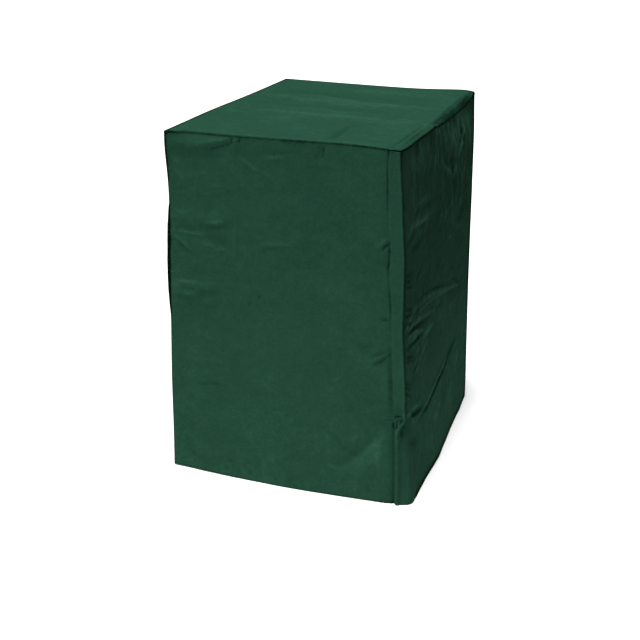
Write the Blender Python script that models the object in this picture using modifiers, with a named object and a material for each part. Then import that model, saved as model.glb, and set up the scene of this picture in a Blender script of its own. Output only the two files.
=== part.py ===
"""Fitted cover for garden furniture, sewn from five panels of dark green coated cloth.

It hangs as a tall box with no bottom: a flat top whose edge is turned down over four walls. The near corner
has a flat tuck that ends in a knot, the walls gather under the top's seam, and the hem swings out below.
Metres, +Z up, +X to the right of the front, +Y to the back. The origin is the middle of the top's underside.
"""

import math
from collections import namedtuple

import bpy
import numpy as np

# Sizes of the finished cover
WIDTH = 0.464  # left to right over the walls, at the top
DEPTH = 0.594  # front to back
HEIGHT = 0.720  # lowest point of the hem to the top's outer face
SHEET = 0.0015  # the coated cloth
CORNER_ROUND = 0.004  # of the corner seams
HEM_ROUND = 0.024  # of the near corner where it opens out at the hem
SEAM_GAP = 0.0005  # between two walls along a corner seam
TURNED_EDGE = 0.0045  # how far the top's edge turns down
OVERHANG = 0.0008  # how far the turned edge stands out past the walls
RIM_CLEAR = 0.0004  # between the turned edge and the walls' rims
HEM_RISE = 0.003  # the hem stands this much higher than its lowest point, at the front's belly

# The tuck on the front beside its right seam, the knot that ends it and the welt below the knot
TUCK_WIDTH = 0.024
TUCK_RISE = 0.0022
TUCK_EDGE = 0.006  # over which the tuck's side falls to the face
TUCK_END = 0.024  # over which the tuck dies out at the knot
CREASE_WIDTH = 0.0045
CREASE_OFF = 0.003  # from the tuck's side to the bottom of the crease
KNOT_UP = 0.186
KNOT_REACH = 0.016
KNOT_DEPTH = 0.006
KNOT_IN = 0.0096  # from the seam to the middle of the knot
KNOT_LENGTH = 0.035  # over which the near seam leaves the corner, down from the knot
SEAM_SHIFT = 0.018  # how far the seam below the knot lies in from the corner, on the front
SLIDE_REACH = 0.11  # over which the cloth beside the near seam evens out that shift
WELT_RISE = 0.0035
WELT_WIDTH = 0.0045
WELT_START = 0.012  # below the knot
WELT_GROWTH = 0.03  # over which the welt rises to its full height

# Where folds die out, so that neighbouring panels stay in line: over this far from a seam, and these parts of
# the top's half size and of the way between its folds' ends
SEAM_FADE = 0.009
RIM_FADE = 0.012
TUCK_FADE = 0.020
TOP_FADE = 0.05
END_TAPER = 0.75

# An upright fold narrower than this gets mesh lines of its own
NARROW_FOLD = 0.012
MARK_MARGIN = 0.030  # and none closer to a corner than this

# Half the quarter turn of a rounded corner is this share of its radius longer than the setback
CORNER_SHORTENING = 1 - math.pi / 4

# Shift of each corner of the plain box, at the top and at the hem
Corner = namedtuple("Corner", "right back top_x top_y hem_x hem_y")
CORNERS = (
    Corner(-1, -1, -0.002, 0.003, -0.012, 0.005),
    Corner(+1, -1, 0.005, -0.002, 0.033, 0.005),
    Corner(+1, +1, -0.0095, 0.015, 0.006, -0.007),
    Corner(-1, +1, 0.004, 0.006, -0.005, -0.008),
)

# Soft local pushes on the whole cover: where, how far they reach, and how far they push
Push = namedtuple("Push", "x y up reach_x reach_y reach_up dx dy dup")
PUSHES = {
    "hem swings out at the near corner": Push(0.232, -0.290, 0.0, 0.30, 0.38, 0.16, 0.013, 0.0, 0.0),
    "front hem bellies forward": Push(0.020, -0.297, 0.0, 0.17, 0.15, 0.22, 0.0, -0.013, -0.003),
    "front left edge stands out": Push(-0.232, -0.297, 0.46, 0.09, 0.09, 0.18, -0.004, 0.0, 0.0),
    "front bows out at mid height": Push(-0.02, -0.297, 0.36, 0.20, 0.12, 0.24, 0.0, -0.004, 0.0),
    "near corner stands out at mid height": Push(0.232, -0.297, 0.42, 0.09, 0.10, 0.17, 0.0028, 0.0, 0.0),
    "right hem stands out": Push(0.232, 0.02, 0.0, 0.10, 0.22, 0.14, 0.004, 0.0, 0.0),
    "right wall hollows at mid height": Push(0.232, 0.03, 0.40, 0.10, 0.20, 0.22, -0.006, 0.0, 0.0),
    "left wall bows out": Push(-0.232, 0.02, 0.34, 0.10, 0.22, 0.24, -0.007, 0.0, 0.0),
    "back bows out": Push(0.03, 0.297, 0.30, 0.20, 0.12, 0.26, 0.0, 0.006, 0.0),
    "back hem swings left": Push(-0.12, 0.297, 0.0, 0.12, 0.12, 0.18, -0.004, 0.009, 0.0),
    "ear of the front left corner": Push(-0.232, -0.297, 0.716, 0.018, 0.022, 0.085, -0.013, -0.002, 0.0),
    "top lifts along its front edge": Push(0.04, -0.297, 0.720, 0.19, 0.09, 0.05, 0.0, 0.0, 0.0042),
    "top lifts along its left edge": Push(-0.232, -0.13, 0.720, 0.08, 0.16, 0.05, 0.0, 0.0, 0.0032),
    "top sags in the middle": Push(-0.03, 0.02, 0.720, 0.16, 0.20, 0.03, 0.0, 0.0, -0.0015),
}

# Folds of each face: a soft ridge, or a trough where rise is below zero, from start past bend to end.
# On a wall a place is (across from its middle, seen from outside, up from the hem), on the top (x, y).
Fold = namedtuple("Fold", "start bend end width rise")
FRONT_FOLDS = (
    Fold((-0.098, 0.712), (-0.096, 0.702), (-0.097, 0.684), 0.007, 0.0030),
    Fold((0.072, 0.712), (0.073, 0.700), (0.070, 0.678), 0.008, -0.0028),
    Fold((-0.226, 0.690), (-0.180, 0.700), (-0.110, 0.706), 0.010, 0.0034),
    Fold((-0.224, 0.666), (-0.185, 0.674), (-0.135, 0.670), 0.011, -0.0030),
    Fold((-0.228, 0.540), (-0.175, 0.545), (-0.100, 0.556), 0.012, 0.0038),
    Fold((-0.228, 0.518), (-0.170, 0.514), (-0.100, 0.494), 0.012, -0.0036),
    Fold((-0.226, 0.392), (-0.185, 0.396), (-0.130, 0.412), 0.013, 0.0032),
    Fold((0.060, 0.500), (0.085, 0.460), (0.120, 0.440), 0.024, -0.0030),
    Fold((0.150, 0.560), (0.180, 0.540), (0.196, 0.500), 0.014, 0.0028),
    Fold((0.140, 0.330), (0.165, 0.310), (0.196, 0.286), 0.014, -0.0032),
    Fold((0.205, 0.168), (0.150, 0.105), (0.070, 0.060), 0.016, -0.0046),
    Fold((0.190, 0.110), (0.165, 0.080), (0.130, 0.040), 0.020, 0.0040),
    Fold((-0.060, 0.210), (-0.040, 0.130), (-0.050, 0.020), 0.030, -0.0034),
    Fold((-0.170, 0.230), (-0.150, 0.140), (-0.160, 0.015), 0.030, 0.0036),
)
RIGHT_FOLDS = (
    Fold((-0.150, 0.712), (-0.146, 0.680), (-0.134, 0.630), 0.010, 0.0050),
    Fold((-0.080, 0.710), (-0.078, 0.670), (-0.066, 0.590), 0.011, -0.0044),
    Fold((-0.014, 0.712), (-0.008, 0.660), (0.010, 0.580), 0.009, 0.0062),
    Fold((0.026, 0.712), (0.030, 0.660), (0.048, 0.590), 0.009, 0.0056),
    Fold((0.080, 0.712), (0.084, 0.680), (0.094, 0.610), 0.010, 0.0050),
    Fold((0.138, 0.710), (0.142, 0.680), (0.150, 0.620), 0.010, -0.0048),
    Fold((0.180, 0.700), (0.200, 0.640), (0.226, 0.550), 0.013, 0.0056),
    Fold((-0.050, 0.566), (-0.150, 0.574), (-0.235, 0.572), 0.014, -0.0042),
    Fold((-0.060, 0.532), (-0.150, 0.545), (-0.245, 0.540), 0.013, 0.0042),
    Fold((0.225, 0.302), (-0.090, 0.372), (-0.248, 0.386), 0.015, 0.0058),
    Fold((0.060, 0.310), (-0.110, 0.334), (-0.240, 0.346), 0.013, -0.0046),
    Fold((0.176, 0.194), (0.050, 0.160), (-0.105, 0.148), 0.013, -0.0054),
    Fold((0.190, 0.222), (0.060, 0.188), (-0.090, 0.180), 0.013, 0.0050),
    Fold((-0.127, 0.143), (-0.192, 0.165), (-0.255, 0.180), 0.011, -0.0052),
    Fold((0.100, 0.180), (0.110, 0.100), (0.105, 0.010), 0.024, -0.0020),
    Fold((-0.040, 0.120), (-0.050, 0.060), (-0.055, 0.006), 0.022, 0.0026),
    Fold((0.210, 0.240), (0.216, 0.120), (0.212, 0.010), 0.022, 0.0026),
)
BACK_FOLDS = (
    Fold((-0.150, 0.706), (-0.146, 0.660), (-0.158, 0.600), 0.014, 0.0040),
    Fold((-0.020, 0.706), (-0.026, 0.660), (-0.018, 0.590), 0.014, -0.0040),
    Fold((0.100, 0.706), (0.104, 0.670), (0.092, 0.620), 0.013, 0.0036),
    Fold((-0.200, 0.480), (-0.080, 0.420), (0.080, 0.400), 0.022, -0.0046),
    Fold((0.200, 0.330), (0.080, 0.260), (-0.060, 0.230), 0.022, 0.0046),
    Fold((-0.120, 0.220), (-0.130, 0.110), (-0.120, 0.010), 0.030, 0.0050),
    Fold((0.060, 0.200), (0.070, 0.100), (0.064, 0.010), 0.030, -0.0048),
)
LEFT_FOLDS = (
    Fold((0.286, 0.575), (0.286, 0.500), (0.289, 0.330), 0.008, 0.0090),
    Fold((-0.180, 0.706), (-0.176, 0.660), (-0.190, 0.590), 0.014, -0.0042),
    Fold((-0.060, 0.706), (-0.056, 0.650), (-0.070, 0.580), 0.014, 0.0044),
    Fold((0.060, 0.706), (0.054, 0.670), (0.068, 0.610), 0.013, -0.0038),
    Fold((0.180, 0.706), (0.184, 0.660), (0.172, 0.600), 0.014, 0.0040),
    Fold((0.250, 0.440), (0.120, 0.400), (-0.060, 0.420), 0.020, -0.0048),
    Fold((-0.250, 0.340), (-0.120, 0.270), (0.060, 0.240), 0.022, 0.0050),
    Fold((-0.110, 0.210), (-0.120, 0.100), (-0.108, 0.010), 0.030, -0.0050),
    Fold((0.140, 0.200), (0.130, 0.100), (0.140, 0.010), 0.030, 0.0050),
)
TOP_FOLDS = (
    Fold((0.092, -0.270), (0.082, -0.200), (0.070, -0.120), 0.012, -0.0024),
    Fold((-0.170, -0.060), (-0.020, -0.040), (0.140, -0.050), 0.016, 0.0016),
    Fold((-0.190, 0.020), (-0.040, 0.034), (0.110, 0.020), 0.016, -0.0018),
    Fold((-0.150, 0.090), (0.010, 0.100), (0.190, 0.086), 0.017, 0.0018),
    Fold((-0.190, 0.160), (-0.030, 0.170), (0.090, 0.158), 0.017, -0.0018),
    Fold((-0.080, 0.220), (0.060, 0.228), (0.180, 0.220), 0.016, 0.0016),
    Fold((0.207, -0.272), (0.214, -0.160), (0.224, -0.040), 0.007, -0.0018),
    Fold((0.221, -0.046), (0.227, -0.036), (0.230, -0.026), 0.009, 0.0034),
    Fold((0.060, 0.268), (0.110, 0.262), (0.160, 0.270), 0.009, -0.0020),
    Fold((0.206, -0.276), (0.208, -0.272), (0.210, -0.268), 0.009, -0.0034),
)

# How deep the crease beside the tuck is, at heights above the hem
Depth = namedtuple("Depth", "up depth")
CREASE_DEPTHS = (
    Depth(0.180, 0.0010),
    Depth(0.240, 0.0030),
    Depth(0.330, 0.0014),
    Depth(0.400, 0.0032),
    Depth(0.450, 0.0016),
    Depth(0.500, 0.0032),
    Depth(0.550, 0.0010),
    Depth(0.620, 0.0026),
    Depth(0.714, 0.0040),
)

# The walls: which way each faces, half its length and the distance of its face from the middle
Wall = namedtuple("Wall", "name along out half set_out folds column_step row_step")
FRONT = Wall("front_panel", (1, 0), (0, -1), WIDTH / 2, DEPTH / 2, FRONT_FOLDS, 0.028, 0.027)
RIGHT = Wall("right_panel", (0, 1), (1, 0), DEPTH / 2, WIDTH / 2, RIGHT_FOLDS, 0.030, 0.026)
BACK = Wall("back_panel", (-1, 0), (0, 1), WIDTH / 2, DEPTH / 2, BACK_FOLDS, 0.042, 0.048)
LEFT = Wall("left_panel", (0, -1), (-1, 0), DEPTH / 2, WIDTH / 2, LEFT_FOLDS, 0.045, 0.048)

# Column lines that a wall's mesh needs beside its seams, as distances from the seam
TUCK_COLUMNS = (0.002, 0.008, 0.018, 0.022, 0.025, 0.028, 0.033, 0.044)
WELT_COLUMNS = (0.002, 0.006, 0.012, 0.022)
PLAIN_COLUMNS = (0.002, 0.008, 0.020)

# Row lines: above the hem, below the rim, and above the knot
HEM_ROW = 0.006
RIM_ROW = 0.008
KNOT_ROWS = (-0.030, -0.010, 0.006, 0.022)

# Rings of the top's rim: how far in from its outline each lies, and how far down
Ring = namedtuple("Ring", "inset down")
RIM = (Ring(0.0034, 0.0), Ring(0.0010, 0.0010), Ring(0.0, 0.0030), Ring(0.0, TURNED_EDGE))
RING_STEP = 0.012  # a ring's share of the grid, past the flat top's edge
TOP_CELLS = (15, 17)

CLOTH_GREEN = (0.016, 0.075, 0.040, 1.0)
CLOTH_ROUGHNESS = 0.55


def smooth(value):
    """0 below 0, 1 above 1 and an even S between."""
    part = np.clip(value, 0, 1)
    return part * part * (3 - 2 * part)


def below_knot(up):
    """1 under the knot, 0 above it."""
    return smooth((KNOT_UP - up) / KNOT_LENGTH)


def near_round(up):
    """Radius of the near corner: small down to the knot, then opening out to the hem."""
    return CORNER_ROUND + (HEM_ROUND - CORNER_ROUND) * below_knot(up)


def round_corner(past, radius):
    """Setbacks from the sharp corner along this wall and the next, and the turn so far, for a distance past
    the middle of the rounded corner."""
    eighth = radius * math.pi / 4
    turn = np.clip((past + eighth) / radius, 0, math.pi / 2)
    here = radius * (1 - np.sin(turn)) + np.maximum(-past - eighth, 0)
    beyond = radius * (1 - np.cos(turn)) + np.maximum(past - eighth, 0)
    return here, beyond, turn


def plain_place(wall, across, left_radius, right_radius, grown=0.0):
    """Plan places and outward directions on the plain box, for distances across a wall's unfolded face."""
    half = wall.half + grown
    set_out = wall.set_out + grown
    side = np.where(across > 0, 1.0, -1.0)
    radius = np.where(across > 0, right_radius, left_radius) + grown
    past = np.abs(across) - (half - CORNER_SHORTENING * radius)
    here, beyond, turn = round_corner(past, radius)
    along = np.array(wall.along, float)
    out = np.array(wall.out, float)
    place = np.outer(side * (half - here), along) + np.outer(set_out - beyond, out)
    facing = np.outer(side * np.sin(turn), along) + np.outer(np.cos(turn), out)
    return place, facing


def hang(place, up):
    """World places of points of the plain box, moved by the lean of its corners and by the soft pushes."""
    on_box = np.clip(place, (-WIDTH / 2, -DEPTH / 2), (WIDTH / 2, DEPTH / 2))
    right = on_box[:, 0] / WIDTH + 0.5
    back = on_box[:, 1] / DEPTH + 0.5
    down = 1 - up / HEIGHT
    moved = np.column_stack([place, up - (HEIGHT - SHEET)])
    for corner in CORNERS:
        share_x = right if corner.right > 0 else 1 - right
        share_y = back if corner.back > 0 else 1 - back
        moved[:, 0] += share_x * share_y * (corner.top_x + (corner.hem_x - corner.top_x) * down)
        moved[:, 1] += share_x * share_y * (corner.top_y + (corner.hem_y - corner.top_y) * down)
    for push in PUSHES.values():
        far_x = (on_box[:, 0] - push.x) / push.reach_x
        far_y = (on_box[:, 1] - push.y) / push.reach_y
        far_up = (up - push.up) / push.reach_up
        share = np.exp(-(far_x**2) - far_y**2 - far_up**2)
        moved += np.outer(share, (push.dx, push.dy, push.dup))
    return moved


def fold_rise(first, second, fold):
    """How far one fold stands out at points of a face."""
    steps = np.linspace(0, 1, 9)
    start, bend, end = (np.array(p) for p in (fold.start, fold.bend, fold.end))
    knots = [(1 - t) ** 2 * start + 2 * t * (1 - t) * bend + t * t * end for t in steps]
    nearest = np.full(len(first), np.inf)
    share = np.zeros(len(first))
    for number, (a, b) in enumerate(zip(knots[:-1], knots[1:])):
        line = b - a
        part = ((first - a[0]) * line[0] + (second - a[1]) * line[1]) / (line @ line)
        part = np.clip(part, 0, 1)
        away = np.hypot(first - a[0] - part * line[0], second - a[1] - part * line[1])
        closer = away < nearest
        nearest = np.where(closer, away, nearest)
        share = np.where(closer, (number + part) / (len(knots) - 1), share)
    taper = 1 - END_TAPER * np.abs(2 * share - 1) ** 3
    return fold.rise * taper * np.exp(-((nearest / fold.width) ** 2))


def tuck_rise(from_seam, up):
    """The flat tuck beside the front's right seam, with the crease along its left side."""
    above = smooth((up - KNOT_UP) / TUCK_END + 0.5)
    side = 1 - smooth((from_seam - TUCK_WIDTH) / TUCK_EDGE + 0.5)
    band = TUCK_RISE * side * smooth(2 * from_seam / TUCK_EDGE)
    depth = np.interp(up, [d.up for d in CREASE_DEPTHS], [d.depth for d in CREASE_DEPTHS])
    crease = depth * np.exp(-(((from_seam - TUCK_WIDTH - CREASE_OFF) / CREASE_WIDTH) ** 2))
    return above * (band - crease)


def welt_rise(from_seam, up):
    """The narrow welt of the near seam below the knot."""
    grown = smooth((KNOT_UP - WELT_START - up) / WELT_GROWTH)
    return WELT_RISE * grown * np.exp(-((from_seam / WELT_WIDTH) ** 2))


def knot_rise(from_seam, up):
    """The pinch that draws the tuck in where it ends."""
    far = np.hypot(from_seam - KNOT_IN, up - KNOT_UP) / KNOT_REACH
    return -KNOT_DEPTH * np.exp(-(far**2)) * smooth(2 * from_seam / SEAM_FADE)


def spaced(low, high, step, marks):
    """Lines from low to high, a step or less apart, that pass through the marks."""
    fixed = sorted({low, high, *marks})
    lines = [low]
    for a, b in zip(fixed[:-1], fixed[1:]):
        count = max(1, round((b - a) / step))
        lines += list(np.linspace(a, b, count + 1)[1:])
    return np.array(lines)


def upright_marks(wall):
    """Lines along the crests and feet of a wall's narrow upright folds."""
    marks = []
    for fold in wall.folds:
        run_across = abs(fold.end[0] - fold.start[0])
        run_up = abs(fold.end[1] - fold.start[1])
        if 2 * run_across < run_up and fold.width < NARROW_FOLD:
            marks += [fold.bend[0] - fold.width, fold.bend[0], fold.bend[0] + fold.width]
    return [m for m in marks if abs(m) < wall.half - MARK_MARGIN]


def wall_columns(wall):
    """Lines down a wall's unfolded face, closer beside its seams and on its narrow upright folds."""
    end = wall.half - CORNER_SHORTENING * CORNER_ROUND - SEAM_GAP / 2
    left = WELT_COLUMNS if wall is RIGHT else PLAIN_COLUMNS
    right = TUCK_COLUMNS if wall is FRONT else PLAIN_COLUMNS
    marks = [-end + d for d in left] + [end - d for d in right] + upright_marks(wall)
    return spaced(-end, end, wall.column_step, marks)


def wall_rows(wall):
    """Lines across a wall, closer at the rim, the knot and the hem."""
    rim = HEIGHT - TURNED_EDGE - RIM_CLEAR
    marks = [HEM_RISE + HEM_ROW, rim - RIM_ROW]
    if wall in (FRONT, RIGHT):
        marks += [KNOT_UP + above for above in KNOT_ROWS]
    return spaced(HEM_RISE, rim, wall.row_step, marks)


def grid_object(name, first_lines, second_lines):
    """A flat grid whose lines are still to be placed, with each point's two line values."""
    first_cells = len(first_lines) - 1
    second_cells = len(second_lines) - 1
    bpy.ops.mesh.primitive_grid_add(x_subdivisions=first_cells, y_subdivisions=second_cells, size=2)
    panel = bpy.context.object
    panel.name = name
    panel.data.name = name
    flat = np.array([v.co[:] for v in panel.data.vertices])
    first = np.asarray(first_lines)[np.rint((flat[:, 0] + 1) / 2 * first_cells).astype(int)]
    second = np.asarray(second_lines)[np.rint((flat[:, 1] + 1) / 2 * second_cells).astype(int)]
    return panel, first, second


def give_thickness(panel, outer):
    """Place the grid's points, then thicken it inwards, and return the solid's points with the outer face's
    own points first."""
    panel.data.vertices.foreach_set("co", outer.ravel())
    thicken = panel.modifiers.new("thickness", "SOLIDIFY")
    thicken.thickness = SHEET
    thicken.offset = -1
    thicken.use_even_offset = True
    solid = bpy.data.meshes.new_from_object(panel.evaluated_get(bpy.context.evaluated_depsgraph_get()))
    panel.modifiers.remove(thicken)
    panel.data = solid
    solid.name = panel.name
    return np.array([v.co[:] for v in solid.vertices])


def place_points(panel, points):
    """Move the solid's points to their final places, with soft shading."""
    panel.data.vertices.foreach_set("co", points.ravel())
    panel.data.update()
    panel.data.shade_smooth()


def wall_relief(wall, across, up, from_left, from_right):
    """How far a wall's folds, tuck, welt and knot stand out from its plain face."""
    total = np.zeros(len(across))
    for fold in wall.folds:
        total += fold_rise(across, up, fold)
    total *= smooth(np.minimum(from_left, from_right) / SEAM_FADE)
    total *= smooth((HEIGHT - TURNED_EDGE - up) / RIM_FADE)
    if wall is FRONT:
        total *= smooth((from_right - TUCK_WIDTH) / TUCK_FADE)
        total += tuck_rise(from_right, up)
        total += welt_rise(from_right, up) + knot_rise(from_right, up)
    if wall is RIGHT:
        total += welt_rise(from_left, up)
    return total


def end_slide(from_seam, up, side):
    """How far points near the near seam slide round the corner: the seam lies further in on the front below
    the knot, and a rounder corner is shorter."""
    shorter = CORNER_SHORTENING * (near_round(up) - CORNER_ROUND)
    slide = side * shorter - SEAM_SHIFT * below_knot(up)
    return slide * (1 - smooth(from_seam / SLIDE_REACH))


def make_wall(wall):
    """One wall: its grid on the rounded box, thickened, then folded and hung."""
    columns = wall_columns(wall)
    panel, across, up = grid_object(wall.name, columns, wall_rows(wall))
    from_left = across - columns[0]
    from_right = columns[-1] - across

    left_radius = near_round(up) if wall is RIGHT else CORNER_ROUND
    right_radius = near_round(up) if wall is FRONT else CORNER_ROUND
    slid = across.copy()
    if wall is FRONT:
        slid += end_slide(from_right, up, -1)
    if wall is RIGHT:
        slid += end_slide(from_left, up, +1)
    plan, facing = plain_place(wall, slid, left_radius, right_radius)
    outer = np.column_stack([plan, up])

    give_thickness(panel, outer)
    relief = wall_relief(wall, across, up, from_left, from_right)
    outward = np.column_stack([facing, np.zeros(len(up))])
    folded = hang(plan, up) + outward * relief[:, None]
    place_points(panel, np.vstack([folded, folded - outward * SHEET]))
    return panel


def make_top():
    """The top: a flat grid whose outer rings turn down over the walls."""
    rings = len(RIM) - 1
    lines = []
    for cells in TOP_CELLS:
        flat_part = list(np.linspace(-1, 1, cells + 1))
        past = [1 + RING_STEP * (k + 1) for k in range(rings)]
        lines.append([-p for p in reversed(past)] + flat_part + past)
    panel, first, second = grid_object("top_panel", *lines)

    reach = np.maximum(np.abs(first), np.abs(second))
    ring = np.rint(np.maximum(reach - 1, 0) / RING_STEP).astype(int)
    inset = np.array([r.inset for r in RIM])[ring]
    down = np.array([r.down for r in RIM])[ring]
    divisor = np.where(reach > 0, reach, 1)
    plan = np.zeros((len(first), 2))
    for wall in (FRONT, RIGHT, BACK, LEFT):
        along = first * wall.along[0] + second * wall.along[1]
        out = first * wall.out[0] + second * wall.out[1]
        on_wall = np.isclose(out, reach)
        half = wall.half + OVERHANG - CORNER_SHORTENING * (CORNER_ROUND + OVERHANG)
        edge, facing = plain_place(wall, along / divisor * half, CORNER_ROUND, CORNER_ROUND, OVERHANG)
        edge -= facing * inset[:, None]
        plan[on_wall] = (edge * np.minimum(reach, 1)[:, None])[on_wall]
    outer = np.column_stack([plan, HEIGHT - down])

    solid = give_thickness(panel, outer)
    inward = solid[len(outer) :] - solid[: len(outer)]
    relief = np.zeros(len(first))
    for fold in TOP_FOLDS:
        relief += fold_rise(plan[:, 0], plan[:, 1], fold)
    relief *= smooth((1 - reach) / TOP_FADE)
    folded = hang(plan, HEIGHT - down)
    folded[:, 2] += relief
    place_points(panel, np.vstack([folded, folded + inward]))
    return panel


def cloth_material(name):
    """Dark green coated cloth."""
    material = bpy.data.materials.new(name)
    material.use_nodes = True
    shader = material.node_tree.nodes["Principled BSDF"]
    shader.inputs["Base Color"].default_value = CLOTH_GREEN
    shader.inputs["Roughness"].default_value = CLOTH_ROUGHNESS
    shader.inputs["Metallic"].default_value = 0.0
    return material


for old in list(bpy.data.objects):
    bpy.data.objects.remove(old, do_unlink=True)
cover = bpy.data.collections.new("garden_furniture_cover")
bpy.context.scene.collection.children.link(cover)
panels = [make_top()] + [make_wall(wall) for wall in (FRONT, RIGHT, BACK, LEFT)]
for piece in panels:
    for group in list(piece.users_collection):
        group.objects.unlink(piece)
    cover.objects.link(piece)
    piece.data.materials.clear()
    piece.data.materials.append(cloth_material(piece.name + "_cloth"))
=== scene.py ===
"""Fitted cover for garden furniture: five panels of dark green coated cloth, sewn into a box with no bottom
and shown as it hangs over the furniture, on a pale studio floor. Metres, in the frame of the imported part."""

import math
from collections import namedtuple

import bpy
import numpy as np
from mathutils import Matrix, Vector


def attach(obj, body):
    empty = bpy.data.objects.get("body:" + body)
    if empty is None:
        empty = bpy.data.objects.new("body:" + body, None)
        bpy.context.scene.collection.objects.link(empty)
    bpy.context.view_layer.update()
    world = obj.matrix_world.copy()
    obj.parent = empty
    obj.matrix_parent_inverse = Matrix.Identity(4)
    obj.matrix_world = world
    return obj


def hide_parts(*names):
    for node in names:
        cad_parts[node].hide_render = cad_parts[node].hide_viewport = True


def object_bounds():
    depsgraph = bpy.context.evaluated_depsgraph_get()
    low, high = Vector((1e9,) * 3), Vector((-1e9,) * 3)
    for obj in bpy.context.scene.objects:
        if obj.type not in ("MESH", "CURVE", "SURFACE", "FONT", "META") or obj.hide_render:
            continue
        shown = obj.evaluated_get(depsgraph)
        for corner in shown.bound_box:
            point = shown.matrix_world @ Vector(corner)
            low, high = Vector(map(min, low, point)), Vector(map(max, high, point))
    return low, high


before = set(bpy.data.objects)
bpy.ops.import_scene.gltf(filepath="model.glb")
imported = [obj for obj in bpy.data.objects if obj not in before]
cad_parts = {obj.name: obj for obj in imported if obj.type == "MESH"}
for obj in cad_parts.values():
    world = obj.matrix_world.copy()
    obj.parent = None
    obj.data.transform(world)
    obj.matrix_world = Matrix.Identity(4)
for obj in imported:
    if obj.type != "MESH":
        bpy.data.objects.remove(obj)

cad_low, cad_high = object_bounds()


# Front panel. One upright piece of coated woven cloth, hemmed below and sewn to the turned edge of the top.
# A flat tuck runs down its right side and ends in a knot; below the knot the seam stands up as a narrow welt.

WIDTH = 0.464  # left to right over the walls, at the top
DEPTH = 0.594  # front to back
HEIGHT = 0.720  # lowest point of the hem to the top's outer face
CLOTH = 0.0009  # the cloth as it looks at its hem
CORNER_ROUND = 0.004
HEM_ROUND = 0.024  # of the near corner where it opens out at the hem
SEAM_GAP = 0.0005
TURNED_EDGE = 0.0045
RIM_CLEAR = 0.0001  # the turned edge and the walls' rims meet in the seam
HEM_RISE = 0.003

TUCK_WIDTH = 0.024
TUCK_RISE = 0.0024
TUCK_EDGE = 0.004  # how wide the slope of its left edge is
TUCK_END = 0.010  # how far it takes to flatten at the knot
KNOT_UP = 0.190
KNOT_REACH = 0.013
KNOT_DEPTH = 0.006
KNOT_IN = 0.0096  # from the seam
KNOT_LENGTH = 0.035  # below the knot the corner has opened out after this far
SLIDE_REACH = 0.11  # of the cloth that slides with the seam
# How far left of the near corner the seam runs below the knot, at heights above the hem
Shift = namedtuple("Shift", "up left")
SEAM_SHIFTS = (Shift(0.0, 0.0206), Shift(0.08, 0.0165), Shift(0.16, 0.0120), Shift(0.20, 0.0120))
WELT_RISE = 0.0036
WELT_WIDTH = 0.0034
WELT_START = 0.020  # below the knot
WELT_GROWTH = 0.02  # to its full height
WELT_GROOVE_OFF = 0.0072
WELT_GROOVE_WIDTH = 0.0024
WELT_GROOVE_DEPTH = 0.0018
BESIDE_WELT_REACH = 0.017  # of the cloth that sinks beside it
BESIDE_WELT_DEPTH = 0.0036
BESIDE_WELT_FADE = 0.008
LIP_RISE = 0.0010  # of the tuck's edge over the seam
LIP_OFF = 0.0012
LIP_WIDTH = 0.0022

# How far from the seams, the rim and the tuck the folds and creases die out
SEAM_FADE = 0.009
RIM_FADE = 0.008
TUCK_FADE = 0.014
GATHER_FADE = 0.004
TUCK_FINE_FADE = 0.006
CORNER_SHORTENING = 1 - math.pi / 4  # of a round corner against a sharp one, in radiuses for each wall

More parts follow.
